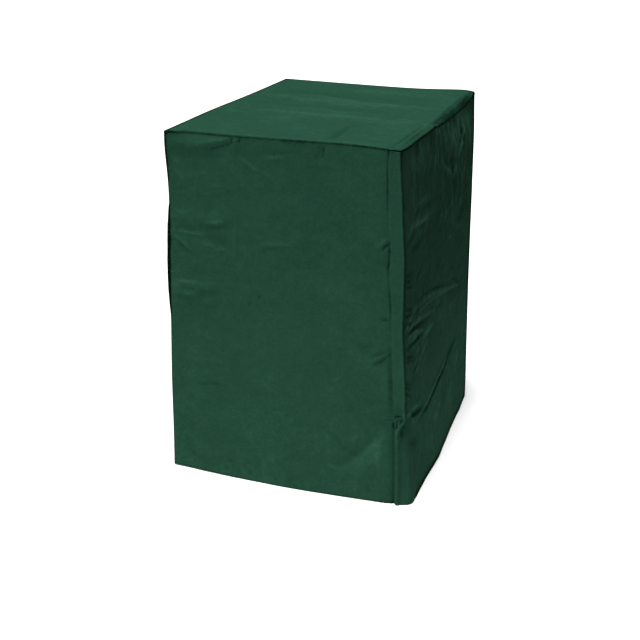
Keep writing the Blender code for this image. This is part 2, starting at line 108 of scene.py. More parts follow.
# How the corners of the plain box lean, at the top and at the hem, and soft pushes on the cloth between them
Corner = namedtuple("Corner", "right back top_x top_y hem_x hem_y")
CORNERS = (
    Corner(-1, -1, -0.002, 0.003, -0.012, 0.005),
    Corner(+1, -1, 0.005, -0.002, 0.033, 0.005),
    Corner(+1, +1, -0.0095, 0.015, 0.006, -0.007),
    Corner(-1, +1, 0.004, 0.006, -0.005, -0.008),
)
Push = namedtuple("Push", "x y up reach_x reach_y reach_up dx dy dup", defaults=(0.0, 0.0, 0.0))
PUSHES = {
    "hem swings out at the near corner": Push(0.232, -0.290, 0.0, 0.30, 0.38, 0.16, dx=0.013),
    "front hem bellies forward": Push(0.020, -0.297, 0.0, 0.17, 0.15, 0.22, dy=-0.013, dup=-0.003),
    "front left edge stands out": Push(-0.232, -0.297, 0.46, 0.09, 0.09, 0.18, dx=-0.004),
    "front bows out at mid height": Push(-0.02, -0.297, 0.36, 0.20, 0.12, 0.24, dy=-0.004),
    "near corner stands out at mid height": Push(0.232, -0.297, 0.42, 0.09, 0.10, 0.17, dx=0.0028),
    "right hem stands out": Push(0.232, 0.02, 0.0, 0.10, 0.22, 0.14, dx=0.005),
    "right wall hollows at mid height": Push(0.232, 0.03, 0.40, 0.10, 0.20, 0.22, dx=-0.006),
    "left wall bows out": Push(-0.232, 0.02, 0.34, 0.10, 0.22, 0.24, dx=-0.007),
    "back bows out": Push(0.03, 0.297, 0.30, 0.20, 0.12, 0.26, dy=0.006),
    "back hem swings left": Push(-0.12, 0.297, 0.0, 0.12, 0.12, 0.18, dx=-0.004, dy=0.009),
    "ear of the front left corner": Push(-0.232, -0.297, 0.716, 0.018, 0.022, 0.085, dx=-0.013, dy=-0.002),
    "top lifts along its front edge": Push(0.04, -0.297, 0.720, 0.19, 0.09, 0.05, dup=0.0042),
    "top lifts along its left edge": Push(-0.232, -0.13, 0.720, 0.08, 0.16, 0.05, dup=0.0032),
    "ear droops": Push(-0.232, -0.297, 0.716, 0.018, 0.022, 0.05, dup=-0.0060),
    "seam of the top rises by the tuck": Push(0.150, -0.297, 0.720, 0.10, 0.05, 0.04, dup=0.0040),
    "back right corner stands up": Push(0.232, 0.297, 0.720, 0.10, 0.06, 0.05, dup=0.0066),
    "front left edge out under the ear": Push(-0.232, -0.297, 0.62, 0.05, 0.08, 0.09, dx=-0.0026),
    "front left edge out above the hem": Push(-0.232, -0.297, 0.20, 0.05, 0.08, 0.12, dx=-0.0026),
    "front hem hangs lower at the left": Push(-0.10, -0.297, 0.0, 0.10, 0.10, 0.10, dy=-0.004, dup=-0.001),
    "near edge drawn in under the top": Push(0.232, -0.297, 0.700, 0.05, 0.06, 0.045, dx=-0.0026),
    "near edge stands out above the middle": Push(0.232, -0.297, 0.515, 0.05, 0.06, 0.050, dx=0.0022),
    "near edge drawn in at the middle": Push(0.232, -0.297, 0.370, 0.05, 0.06, 0.040, dx=-0.0024),
    "near edge stands out above the knot": Push(0.232, -0.297, 0.235, 0.05, 0.06, 0.045, dx=0.0024),
    "right hem filled out": Push(0.232, -0.02, 0.02, 0.05, 0.09, 0.05, dx=0.0020),
    "lip of the top draws in": Push(0.232, -0.165, 0.720, 0.014, 0.085, 0.05, dx=-0.0095, dup=-0.0055),
    "right edge of the top rolls over": Push(0.252, 0.13, 0.720, 0.028, 0.12, 0.06, dx=-0.0200, dup=-0.0260),
    "back right corner is slack": Push(0.252, 0.238, 0.720, 0.028, 0.042, 0.06, dx=-0.0120, dup=-0.0160),
    "pucker of seams": Push(0.224, -0.291, 0.720, 0.0055, 0.0055, 0.010, dx=0.0006, dy=-0.001, dup=0.0026),
    "lip ends in a bump": Push(0.232, -0.058, 0.720, 0.012, 0.010, 0.012, dx=0.0020, dup=0.0045),
    "notch behind the bump": Push(0.232, -0.038, 0.720, 0.012, 0.009, 0.012, dx=-0.0030, dup=-0.0030),
    "top sags in the middle": Push(-0.03, 0.02, 0.720, 0.16, 0.20, 0.03, dup=-0.0015),
}

# A fold or crease is a soft ridge, or a trough where rise is below zero, from start past bend to end.
# On a wall a place is (across from its middle, seen from outside, up from the hem), on the top (x, y).
Fold = namedtuple("Fold", "start bend end width rise")


def laid(*rows):
    """Folds in metres, from rows of start, bend, end, width and rise in millimetres."""
    return tuple(Fold(*(np.array(value) / 1000 for value in row)) for row in rows)


FRONT_FOLDS = laid(
    ((-98, 712), (-96, 702), (-97, 684), 7, 3),
    ((72, 712), (73, 700), (70, 678), 8, -2.8),
    ((-226, 690), (-180, 700), (-110, 706), 10, 3.4),
    ((-224, 666), (-185, 674), (-135, 670), 11, -1.8),
    ((-228, 540), (-175, 545), (-100, 556), 12, 2.6),
    ((-228, 518), (-170, 514), (-100, 494), 12, -1.8),
    ((-226, 392), (-185, 396), (-130, 412), 13, 3.2),
    ((60, 500), (85, 460), (120, 440), 24, -3),
    ((150, 560), (180, 540), (196, 500), 14, 2.8),
    ((140, 330), (165, 310), (196, 286), 14, -3.2),
    ((205, 168), (150, 105), (70, 60), 16, -2),
    ((190, 110), (165, 80), (130, 40), 20, 3),
    ((-60, 210), (-40, 130), (-50, 20), 30, -3.4),
    ((-170, 230), (-150, 140), (-160, 15), 30, 3.6),
)
FRONT_CREASES = laid(
    ((-105, 715), (-104, 710), (-103, 700), 2.4, -1.8),
    ((-89, 715), (-89, 711), (-88, 702), 2.4, -1.6),
    ((66, 713), (67, 704), (65, 692), 2.6, 1.2),
    ((79, 713), (80, 703), (78, 688), 2.8, -1.4),
    ((-205, 688), (-165, 697), (-112, 709), 4, 1.8),
    ((-150, 687), (-128, 692), (-107, 701), 3.4, -1.4),
    ((-90, 676), (-70, 664), (-48, 652), 3.4, 1),
    ((-42, 677), (-20, 682), (2, 683), 3.2, 1),
    ((-36, 685), (-13, 691), (17, 693), 3.4, -0.8),
    ((-220, 672), (-217, 663), (-211, 653), 3.6, 1.2),
    ((-217, 645), (-208, 630), (-196, 617), 3.6, 1.2),
    ((-162, 539), (-140, 544), (-115, 546), 3.4, 2),
    ((-150, 531), (-130, 535), (-112, 536), 4, -1),
    ((-218, 517), (-192, 515), (-157, 514), 3.6, 1.8),
    ((-220, 504), (-202, 495), (-186, 481), 3.6, 2),
    ((-212, 492), (-202, 484), (-192, 472), 3.6, -1.2),
    ((-168, 494), (-152, 496), (-136, 495), 3.2, 1.3),
    ((-142, 485), (-128, 490), (-116, 488), 3.2, 1.2),
    ((-42, 510), (-14, 512), (12, 517), 3.6, 0.9),
    ((-38, 502), (-26, 502), (-13, 504), 3.4, -0.8),
    ((-222, 411), (-200, 413), (-173, 412), 3.6, 1.3),
    ((-225, 387), (-200, 389), (-170, 388), 3.6, 1.3),
    ((-215, 399), (-195, 401), (-172, 400), 4.2, -0.9),
    ((-74, 430), (-70, 429), (-66, 427), 3.4, -1.1),
    ((-72, 386), (-68, 384), (-64, 382), 3.4, -1),
    ((-53, 402), (-49, 401), (-45, 399), 3.4, -1.1),
    ((-42, 392), (-38, 391), (-34, 390), 3.4, -0.9),
    ((188, 524), (198, 538), (208, 548), 2.6, -1.7),
    ((182, 530), (190, 541), (200, 552), 3, 1),
    ((188, 388), (197, 389), (208, 390), 3, -1.4),
    ((172, 290), (192, 303), (209, 325), 3.6, -1.8),
    ((172, 310), (192, 317), (208, 332), 3.2, -1.2),
    ((170, 300), (190, 310), (205, 326), 3, 1),
    ((86, 142), (102, 118), (118, 101), 3.2, -1.1),
    ((211, 148), (177, 121), (127, 79), 6.4, 0.9),
    ((178, 136), (140, 102), (92, 62), 6.4, -0.9),
    ((194, 130), (191, 96), (189, 64), 10, 1.1),
    ((-20, 170), (-19, 168), (-17, 166), 3.4, -1),
    ((2, 161), (4, 160), (6, 159), 3.4, -1),
    ((22, 170), (24, 169), (27, 168), 3.4, -0.9),
    ((-178, 194), (-152, 199), (-129, 202), 5, -0.8),
    ((-190, 42), (-188, 36), (-184, 30), 4.4, -1.3),
    ((-178, 32), (-176, 28), (-174, 22), 4, -1),
    ((-113, 42), (-111, 37), (-110, 31), 4.4, -1.3),
    ((-122, 24), (-120, 19), (-118, 14), 4, -1.2),
    ((-73, 22), (-71, 18), (-69, 14), 4, -1),
    ((-24, 20), (-22, 16), (-20, 12), 4, -1),
)
# Small creases scattered over a part of a panel: how many, between which places, which way they run in
# degrees from level and how much that varies, how long and wide they are and how far they stand out
Scatter = namedtuple("Scatter", "count low high turn vary length width rise")
FRONT_SCATTER = (
    Scatter(46, (-0.228, 0.36), (-0.12, 0.70), 8, 28, 0.028, 0.0032, 0.0005),
    Scatter(60, (-0.12, 0.02), (0.20, 0.70), 20, 90, 0.020, 0.0034, 0.0003),
    Scatter(34, (0.09, 0.02), (0.20, 0.34), 30, 45, 0.022, 0.0032, 0.0005),
    Scatter(26, (-0.22, 0.01), (0.20, 0.05), 90, 25, 0.020, 0.0036, 0.0005),
)
# How much they differ among themselves, as shares of their row's length, width and rise, and how much they
# bow, as a share of half their length
LENGTHS = (0.5, 1.5)
WIDTHS = (0.75, 1.4)
RISES = (0.4, 1.3)
BOW = 0.35
# Swells of cloth that has been handled: how far apart they lie and how high they stand
Swell = namedtuple("Swell", "pitch height")
SIDEWAYS = Swell(0.045, 0.012)  # how far the smaller ones are pulled aside
BROAD = Swell(0.120, 0.0011)
DIMPLES = Swell(0.040, 0.00042)
BREAKS = Swell(0.026, 0.00030)
SMALL_BREAKS = Swell(0.012, 0.00014)
BREAK_LEVEL = 0.35
SWELL_CELLS = 64
SWELL_GAIN = 1.5

# How deep the crease beside the tuck is, how far left it strays and how far the cloth beyond it sinks, at
# heights above the hem
Depth = namedtuple("Depth", "up depth stray valley")
CREASE_WIDTH = 0.0018
CREASE_OFF = 0.0022
VALLEY_OFF = 0.0046
VALLEY_WIDTH = 0.0038
VALLEY_SHADE = 230.0  # for each metre that it sinks
TUCK_CREASE = (
    Depth(0.180, 0.0006, -0.0020, 0.0000),
    Depth(0.200, 0.0012, -0.0020, 0.0016),
    Depth(0.250, 0.0012, -0.0018, 0.0024),
    Depth(0.300, 0.0010, -0.0022, 0.0018),
    Depth(0.330, 0.0006, -0.0030, 0.0006),
    Depth(0.360, 0.0006, -0.0034, 0.0000),
    Depth(0.385, 0.0012, -0.0030, 0.0000),
    Depth(0.405, 0.0032, -0.0020, 0.0000),
    Depth(0.440, 0.0028, 0.0006, 0.0004),
    Depth(0.462, 0.0012, 0.0020, 0.0000),
    Depth(0.492, 0.0028, 0.0034, 0.0006),
    Depth(0.526, 0.0028, 0.0008, 0.0004),
    Depth(0.548, 0.0006, 0.0008, 0.0000),
    Depth(0.590, 0.0008, 0.0014, 0.0000),
    Depth(0.623, 0.0024, 0.0016, 0.0002),
    Depth(0.666, 0.0030, 0.0006, 0.0000),
    Depth(0.690, 0.0018, -0.0010, 0.0000),
    Depth(0.714, 0.0026, -0.0026, 0.0000),
)


# Creases are sharper than folds. Ridges this high get the palest wear and painted light, and troughs this deep
# the darkest painted shade.
FOLD_REACH = 2.6  # widths to each side
END_TAPER = 0.75
CREASE_CRISP = 1.35
SHORT_STEPS = 4  # straight parts of a small crease
WORN_AND_SHADED_RISE = 0.0016
SWELL_WEAR_AND_SHADE = 0.2  # of the swells, against the creases
# Painted light from the floor: paler towards the hem, darker towards the rim
PALER_BELOW = 0.36
CREASE_SHADE = 112.5  # for each metre of its depth
GATHER_SHADE = 260.0  # for each metre that a gather of the knot stands out, as painted light, or sinks, as painted shade
TUCK_FINE = 0.35  # of the wall's fine creases that cross the tuck
# Pale and dark bands beside the seams and edges, most of them painted light and shade: how far away, how far
# they reach and how strong they are
Band = namedtuple("Band", "away reach wear")
LIP_BANDS = (Band(0.0012, 0.0020, 0.40),)
# Painted highlight on the welt, painted shade in its groove and beside it
WELT_BANDS = (Band(0.0, 0.0026, 0.30), Band(0.0062, 0.0022, -0.42), Band(0.0115, 0.0065, -0.24))
# Painted shade along the front's left edge, deepest at the ear
LEFT_EDGE_BANDS = (Band(0.0, 0.0020, -0.80),)
EAR_BANDS = (Band(0.0, 0.0046, -0.95),)
EAR_LOW = 0.600  # the left edge is darkest from here up
EAR_FADE = 0.030
# Painted shade along the left edge where the left wall shows past it
SLIVER_BANDS = (Band(0.0, 0.0026, -0.60),)
SLIVER_LOW = 0.29  # and where the left wall shows past it
SLIVER_HIGH = 0.56
SLIVER_FADE = 0.03
# Painted shade under the seam of the top's turned edge, and along the hem with a little painted light above it
FRONT_SEAM_BANDS = (Band(0.0, 0.0036, -0.34),)
HEM_BANDS = (Band(0.0, 0.0030, -0.70), Band(0.012, 0.006, 0.10))

# The cloth's grid lines are closer near the seams, the tuck and the welt, the hem, the rim and the knot
EDGE_BAND = 0.010
EDGE_STEP = 0.0015
FINE_BAND = 0.040
FINE_STEP = 0.0012
RIGHT_FINE_BAND = 0.024
RIGHT_FINE_STEP = 0.00144
HEM_BAND = 0.010
HEM_STEP = 0.0016
RIM_BAND = 0.014
RIM_STEP = 0.0018
KNOT_ROWS = (0.155, 0.205, 0.0012)  # from, to and how far apart


def smooth(value):
    """0 below 0, 1 above 1 and an even S between."""
    part = np.clip(value, 0, 1)
    return part * part * (3 - 2 * part)


def below_knot(up):
    """1 under the knot, 0 above it."""
    return smooth((KNOT_UP - up) / KNOT_LENGTH)


def near_round(up):
    """Radius of the near corner: small down to the knot, then opening out to the hem."""
    return CORNER_ROUND + (HEM_ROUND - CORNER_ROUND) * below_knot(up)


def round_corner(past, radius):
    """Setbacks from the sharp corner along this wall and the next, and the turn so far."""
    eighth = radius * math.pi / 4
    turn = np.clip((past + eighth) / radius, 0, math.pi / 2)
    here = radius * (1 - np.sin(turn)) + np.maximum(-past - eighth, 0)
    beyond = radius * (1 - np.cos(turn)) + np.maximum(past - eighth, 0)
    return here, beyond, turn


def plain_place(wall, across, left_radius, right_radius, grown=0.0):
    """Plan places and outward directions on the plain box, for distances across a wall's unfolded face."""
    half = wall.half + grown
    set_out = wall.set_out + grown
    side = np.where(across > 0, 1.0, -1.0)
    radius = np.where(across > 0, right_radius, left_radius) + grown
    past = np.abs(across) - (half - CORNER_SHORTENING * radius)
    here, beyond, turn = round_corner(past, radius)
    along = np.array(wall.along, float)
    out = np.array(wall.out, float)
    place = np.outer(side * (half - here), along) + np.outer(set_out - beyond, out)
    facing = np.outer(side * np.sin(turn), along) + np.outer(np.cos(turn), out)
    return place, facing


def hang(place, up):
    """World places of points of the plain box, moved by the lean of its corners and by the soft pushes."""
    on_box = np.clip(place, (-WIDTH / 2, -DEPTH / 2), (WIDTH / 2, DEPTH / 2))
    right = on_box[:, 0] / WIDTH + 0.5
    back = on_box[:, 1] / DEPTH + 0.5
    down = 1 - up / HEIGHT
    moved = np.column_stack([place, up + cad_low.z])
    for corner in CORNERS:
        share_x = right if corner.right > 0 else 1 - right
        share_y = back if corner.back > 0 else 1 - back
        moved[:, 0] += share_x * share_y * (corner.top_x + (corner.hem_x - corner.top_x) * down)
        moved[:, 1] += share_x * share_y * (corner.top_y + (corner.hem_y - corner.top_y) * down)
    for push in PUSHES.values():
        far_x = (on_box[:, 0] - push.x) / push.reach_x
        far_y = (on_box[:, 1] - push.y) / push.reach_y
        far_up = (up - push.up) / push.reach_up
        share = np.exp(-(far_x**2) - far_y**2 - far_up**2)
        moved += np.outer(share, (push.dx, push.dy, push.dup))
    return moved


def add_fold(total, first, second, fold, steps=9, crisp=2.0):
    """Add one fold's rise to the points of a face that it reaches; a low crisp makes a sharper ridge."""
    start, bend, end = (np.array(p) for p in (fold.start, fold.bend, fold.end))
    reach = FOLD_REACH * fold.width
    low = np.minimum(np.minimum(start, bend), end) - reach
    high = np.maximum(np.maximum(start, bend), end) + reach
    near = np.flatnonzero((first > low[0]) & (first < high[0]) & (second > low[1]) & (second < high[1]))
    if not len(near):
        return
    a_near = first[near]
    b_near = second[near]
    knots = [(1 - t) ** 2 * start + 2 * t * (1 - t) * bend + t * t * end for t in np.linspace(0, 1, steps)]
    nearest = np.full(len(near), np.inf)
    share = np.zeros(len(near))
    for number, (a, b) in enumerate(zip(knots[:-1], knots[1:])):
        line = b - a
        part = np.clip(((a_near - a[0]) * line[0] + (b_near - a[1]) * line[1]) / (line @ line), 0, 1)
        away = np.hypot(a_near - a[0] - part * line[0], b_near - a[1] - part * line[1])
        closer = away < nearest
        nearest = np.where(closer, away, nearest)
        share = np.where(closer, (number + part) / (steps - 1), share)
    taper = 1 - END_TAPER * np.abs(2 * share - 1) ** 3
    total[near] += fold.rise * taper * np.exp(-((nearest / fold.width) ** crisp))


def scattered(rows, seed):
    """Small creases laid at seeded random over the parts of a panel that the rows name."""
    chance = np.random.default_rng(seed)
    made = []
    for row in rows:
        for _ in range(row.count):
            middle = chance.uniform(row.low, row.high)
            turn = math.radians(row.turn + chance.uniform(-row.vary, row.vary))
            half = row.length * chance.uniform(*LENGTHS) / 2 * np.array([math.cos(turn), math.sin(turn)])
            bow = np.array([-half[1], half[0]]) * chance.uniform(-BOW, BOW)
            rise = row.rise * chance.uniform(*RISES) * (1 if chance.random() < 0.5 else -1)
            width = row.width * chance.uniform(*WIDTHS)
            made.append(Fold(middle - half, middle + bow, middle + half, width, rise))
    return made


def swells(first, second, pitch, seed):
    """Even random swells of cloth that doesn't hang quite flat, about -1 to 1 high and a pitch apart."""
    turns = np.random.default_rng(seed).uniform(0, 2 * math.pi, (SWELL_CELLS, SWELL_CELLS))
    a = first / pitch
    b = second / pitch
    cell_a = np.floor(a).astype(int)
    cell_b = np.floor(b).astype(int)
    total = np.zeros(len(a))
    for step_a in (0, 1):
        for step_b in (0, 1):
            turn = turns[(cell_a + step_a) % SWELL_CELLS, (cell_b + step_b) % SWELL_CELLS]
            off_a = a - cell_a - step_a
            off_b = b - cell_b - step_b
            share = (1 - smooth(np.abs(off_a))) * (1 - smooth(np.abs(off_b)))
            total += share * (off_a * np.cos(turn) + off_b * np.sin(turn))
    return SWELL_GAIN * total


def rumple(first, second, seed):
    """What handling leaves in coated cloth: broad swells, dimples between them and crisp small breaks."""
    aside_a = first + SIDEWAYS.height * swells(first, second, SIDEWAYS.pitch, seed + 1)
    aside_b = second + SIDEWAYS.height * swells(first, second, SIDEWAYS.pitch, seed + 2)
    broad = BROAD.height * swells(first, second, BROAD.pitch, seed + 3)
    dimples = DIMPLES.height * swells(aside_a, aside_b, DIMPLES.pitch, seed + 4)
    breaks = BREAKS.height * (BREAK_LEVEL - np.abs(swells(aside_a, aside_b, BREAKS.pitch, seed + 5)))
    small = BREAK_LEVEL - np.abs(swells(aside_a, aside_b, SMALL_BREAKS.pitch, seed + 6))
    return broad + dimples + breaks + SMALL_BREAKS.height * small


def table_at(rows, up, column):
    """A column of a table of heights, read at heights between its rows."""
    ordered = sorted(rows, key=lambda row: row.up)
    return np.interp(up, [row.up for row in ordered], [getattr(row, column) for row in ordered])


def above_knot(up):
    """1 over the knot, 0 below it: the tuck ends there."""
    return smooth((up - KNOT_UP) / TUCK_END + 0.5)


def tuck_edge(up):
    """How far left of the seam the tuck's edge runs."""
    return TUCK_WIDTH + table_at(TUCK_CREASE, up, "stray")


def crease_line(from_seam, up):
    """1 along the crease at the tuck's left side, 0 away from it."""
    return np.exp(-(((from_seam - tuck_edge(up) - CREASE_OFF) / CREASE_WIDTH) ** 2))


def tuck_valley(from_seam, up):
    """How far the cloth left of the tuck sinks."""
    away = (from_seam - tuck_edge(up) - VALLEY_OFF) / VALLEY_WIDTH
    return table_at(TUCK_CREASE, up, "valley") * np.exp(-(away**2))


def tuck_rise(from_seam, up):
    """The flat tuck beside the front's right seam, with the crease and the valley along its left side."""
    edge = tuck_edge(up)
    side = 1 - smooth((from_seam - edge) / TUCK_EDGE + 0.5)
    band = TUCK_RISE * side * smooth(2 * from_seam / TUCK_EDGE)
    crease = table_at(TUCK_CREASE, up, "depth") * crease_line(from_seam, up)
    return above_knot(up) * (band - crease - tuck_valley(from_seam, up))


def welt_rise(from_seam, up, groove_depth):
    """The narrow welt of the near seam below the knot, and the groove beside it."""
    grown = smooth((KNOT_UP - WELT_START - up) / WELT_GROWTH)
    groove = groove_depth * np.exp(-(((from_seam - WELT_GROOVE_OFF) / WELT_GROOVE_WIDTH) ** 2))
    return grown * (WELT_RISE * np.exp(-((from_seam / WELT_WIDTH) ** 2)) - groove)


def knot_rise(from_seam, up):
    """The pinch that draws the tuck in where it ends."""
    far = np.hypot(from_seam - KNOT_IN, up - KNOT_UP) / KNOT_REACH
    return -KNOT_DEPTH * np.exp(-(far**2)) * smooth(2 * from_seam / SEAM_FADE)


# Gathers that run into the knot, on the front: each from the knot outwards
KNOT_GATHERS = laid(
    ((210, 187), (203, 187), (193, 188), 1.6, -0.6),
    ((211, 181), (203, 181), (194, 180), 1.6, -0.6),
    ((209, 191), (216, 192), (223, 192), 1.4, -2.6),
    ((226, 189), (213, 187), (213, 177), 1.8, 2.2),
    ((212, 180), (214, 171), (223, 162), 1.8, -2.4),
    ((219, 180), (222, 171), (229, 161), 1.6, -2),
    ((220, 184), (221, 176), (229, 168), 1.5, 2),
    ((225, 182), (228, 177), (230, 172), 1.5, -1.8),
    ((229, 201), (227, 192), (226, 186), 1.6, 1.8),
)


def spaced(low, high, step, bands):
    """Lines from low to high, a step or less apart, and closer within the bands (from, to, how far apart)."""
    lines = [low]
    while lines[-1] < high - 1e-9:
        here = lines[-1]
        size = min([step] + [band[2] for band in bands if band[0] <= here < band[1]])
        ahead = [band[0] for band in bands if here < band[0] < here + size]
        lines.append(min([here + size, high] + ahead))
    return np.array(lines)


def shaded(away, bands):
    """The pale and dark bands beside a line, for distances from it."""
    return sum(band.wear * np.exp(-(((away - band.away) / band.reach) ** 2)) for band in bands)


def between(up, low, high, soft):
    """1 between two heights and 0 outside them."""
    return smooth((up - low) / soft) * (1 - smooth((up - high) / soft))


def wall_relief(wall, across, up, from_left, from_right):
    """How far a wall's folds, creases and own things stand out from its plain face, and its wear and painted
    light and shade.
    """
    total = np.zeros(len(across))
    for fold in wall.folds:
        add_fold(total, across, up, fold)
    creased = np.zeros(len(across))
    for crease in wall.creases:
        add_fold(creased, across, up, crease, crisp=CREASE_CRISP)
    for crease in scattered(wall.scatter, wall.seed):
        add_fold(creased, across, up, crease, SHORT_STEPS, CREASE_CRISP)
    rumpled = rumple(across, up, wall.seed) * wall.rumple
    fine = rumpled + creased
    total += fine
    total *= smooth(np.minimum(from_left, from_right) / SEAM_FADE)
    under_rim = smooth((HEIGHT - TURNED_EDGE - up) / RIM_FADE)
    total *= under_rim
    # Painted light on ridges and painted shade in troughs, with some rubbing
    worn_and_shaded = np.clip((creased + SWELL_WEAR_AND_SHADE * rumpled) / WORN_AND_SHADED_RISE, -1, 1) * wall.wear
    worn_and_shaded *= under_rim
    # Painted light from the floor, paler towards the hem
    worn_and_shaded += PALER_BELOW * (0.5 - up / HEIGHT)
    wall.own(total, fine, worn_and_shaded, across, up, from_left, from_right)
    return total, worn_and_shaded


def end_slide(from_seam, up, side):
    """How far points near the near seam slide round the corner: the seam lies further in on the front below
    the knot, and a rounder corner is shorter."""
    shorter = CORNER_SHORTENING * (near_round(up) - CORNER_ROUND)
    slide = side * shorter - table_at(SEAM_SHIFTS, up, "left") * below_knot(up)
    return slide * (1 - smooth(from_seam / SLIDE_REACH))


def sewn_piece(name, columns, rows, outer, outward, flat_places, worn_and_shaded):
    """A thin sheet of cloth through the outer points, its inner face a cloth's thickness further in. The wear
    and painted light and shade of each point are kept with it: above 0 paler, from rubbing and painted light;
    below 0 painted shade of a seam, edge or trough."""
    bpy.ops.mesh.primitive_grid_add(x_subdivisions=len(columns) - 1, y_subdivisions=len(rows) - 1, size=2)
    panel = bpy.context.object
    panel.name = name
    panel.data.name = name
    panel.data.vertices.foreach_set("co", outer.ravel())
    cut = panel.data.uv_layers.active or panel.data.uv_layers.new(name="cut")
    cut.name = "cut"
    corners = np.zeros(len(panel.data.loops), int)
    panel.data.loops.foreach_get("vertex_index", corners)
    cut.data.foreach_set("uv", flat_places[corners].ravel())
    thicken = panel.modifiers.new("thickness", "SOLIDIFY")
    thicken.thickness = CLOTH
    thicken.offset = -1
    solid = bpy.data.meshes.new_from_object(panel.evaluated_get(bpy.context.evaluated_depsgraph_get()))
    panel.modifiers.remove(thicken)
    panel.data = solid
    solid.name = name
    solid.vertices.foreach_set("co", np.vstack([outer, outer - outward * CLOTH]).ravel())
    wear = solid.attributes.new("wear", "FLOAT", "POINT")
    wear.data.foreach_set("value", np.concatenate([worn_and_shaded, worn_and_shaded]))
    solid.update()
    solid.shade_smooth()
    return panel


def grid_lines(columns, rows):
    """The two line values of every point of a Blender grid, in its own order."""
    return np.tile(columns, len(rows)), np.repeat(rows, len(columns))


def make_wall(wall):
    """One wall: fine lines over its unfolded face, placed on the rounded box, folded, creased and hung."""
    end = wall.half - CORNER_SHORTENING * CORNER_ROUND - SEAM_GAP / 2
    bands = [(-end, -end + EDGE_BAND, EDGE_STEP), (end - EDGE_BAND, end, EDGE_STEP)]
    if wall.near_side == "right":
        bands.append((end - FINE_BAND, end, FINE_STEP))
    if wall.near_side == "left":
        bands.append((-end, -end + RIGHT_FINE_BAND, RIGHT_FINE_STEP))
    columns = spaced(-end, end, wall.step, bands)
    rim = HEIGHT - TURNED_EDGE - RIM_CLEAR
    fine_rows = [(HEM_RISE, HEM_RISE + HEM_BAND, HEM_STEP), (rim - RIM_BAND, rim, RIM_STEP), KNOT_ROWS]
    rows = spaced(HEM_RISE, rim, wall.row_step, fine_rows)
    across, up = grid_lines(columns, rows)
    from_left = across - columns[0]
    from_right = columns[-1] - across
    left_radius = near_round(up) if wall.near_side == "left" else CORNER_ROUND
    right_radius = near_round(up) if wall.near_side == "right" else CORNER_ROUND
    slid = across.copy()
    if wall.near_side == "right":
        slid += end_slide(from_right, up, -1)
    if wall.near_side == "left":
        slid += end_slide(from_left, up, +1)
    plan, facing = plain_place(wall, slid, left_radius, right_radius)
    relief, worn_and_shaded = wall_relief(wall, across, up, from_left, from_right)
    outward = np.column_stack([facing, np.zeros(len(up))])
    outer = hang(plan, up) + outward * relief[:, None]
    flat_places = np.column_stack([across, up])
    return sewn_piece(wall.name + "_cloth", columns, rows, outer, outward, flat_places, worn_and_shaded)


def front_relief(total, fine, worn_and_shaded, across, up, from_left, from_right):
    """Add the front's own things: tuck, knot, welt, and painted light and shade on its gathers, seams and
    edges.
    """
    above = above_knot(up)
    below = 1 - above
    edge = tuck_edge(up)
    total *= 1 - above * (1 - smooth((from_right - edge) / TUCK_FADE))
    total += tuck_rise(from_right, up)
    total += welt_rise(from_right, up, WELT_GROOVE_DEPTH) + knot_rise(from_right, up)
    on_tuck = above * smooth(from_right / TUCK_FINE_FADE) * (1 - smooth((from_right - edge) / TUCK_EDGE))
    total += TUCK_FINE * fine * on_tuck
    gathers = np.zeros(len(across))
    for gather in KNOT_GATHERS:
        add_fold(gathers, across, up, gather)
    total += gathers * smooth(from_right / GATHER_FADE)
    beside_welt = np.exp(-((from_right / BESIDE_WELT_REACH) ** 2)) * smooth(from_right / BESIDE_WELT_FADE)
    total -= BESIDE_WELT_DEPTH * below_knot(up) * beside_welt
    total += LIP_RISE * above * np.exp(-(((from_right - LIP_OFF) / LIP_WIDTH) ** 2))

    # Painted shade along the hem, seams, edges, crease and valley; painted light and shade on the gathers and
    # welt; the tuck's lip is paler
    worn_and_shaded += shaded(up - HEM_RISE, HEM_BANDS)
    worn_and_shaded += GATHER_SHADE * gathers
    worn_and_shaded += above * shaded(from_right, LIP_BANDS)
    worn_and_shaded -= above * CREASE_SHADE * table_at(TUCK_CREASE, up, "depth") * crease_line(from_right, up)
    worn_and_shaded -= above * VALLEY_SHADE * tuck_valley(from_right, up)
    worn_and_shaded += below * shaded(from_right, WELT_BANDS)
    worn_and_shaded += shaded(from_left, LEFT_EDGE_BANDS) + shaded(HEIGHT - TURNED_EDGE - up, FRONT_SEAM_BANDS)
    worn_and_shaded += smooth((up - EAR_LOW) / EAR_FADE) * shaded(from_left, EAR_BANDS)
    worn_and_shaded += between(up, SLIVER_LOW, SLIVER_HIGH, SLIVER_FADE) * shaded(from_left, SLIVER_BANDS)


# A wall: which way it runs and faces, its size, on which side of it the near corner is, its folds, what is
# its own, how strong its swells and the wear and painted light and shade on its creases are, and how far apart
# its grid lines are
Wall = namedtuple(
    "Wall", "name along out half set_out near_side folds creases scatter own rumple seed wear step row_step"
)
FRONT = Wall(
    "front_panel", along=(1, 0), out=(0, -1), half=WIDTH / 2, set_out=DEPTH / 2, near_side="right",
    folds=FRONT_FOLDS, creases=FRONT_CREASES, scatter=FRONT_SCATTER, own=front_relief,
    rumple=0.85, seed=11, wear=0.62, step=0.0030, row_step=0.0030,
)


# The cloth: woven polyester with a thin coat, dark green, paler on its folds with rubbing and painted light,
# darker in painted shade
CLOTH_GREEN = (0.0175, 0.0640, 0.0390, 1.0)
DEEP_GREEN = (0.0150, 0.0560, 0.0340, 1.0)
RUBBED_AND_LIT_GREEN = (0.0215, 0.0760, 0.0470, 1.0)
SHADE_GREEN = (0.0015, 0.0060, 0.0040, 1.0)
PALE_GREEN = (0.0360, 0.1180, 0.0780, 1.0)
HAZE_GREEN = (0.55, 0.85, 0.70, 1.0)
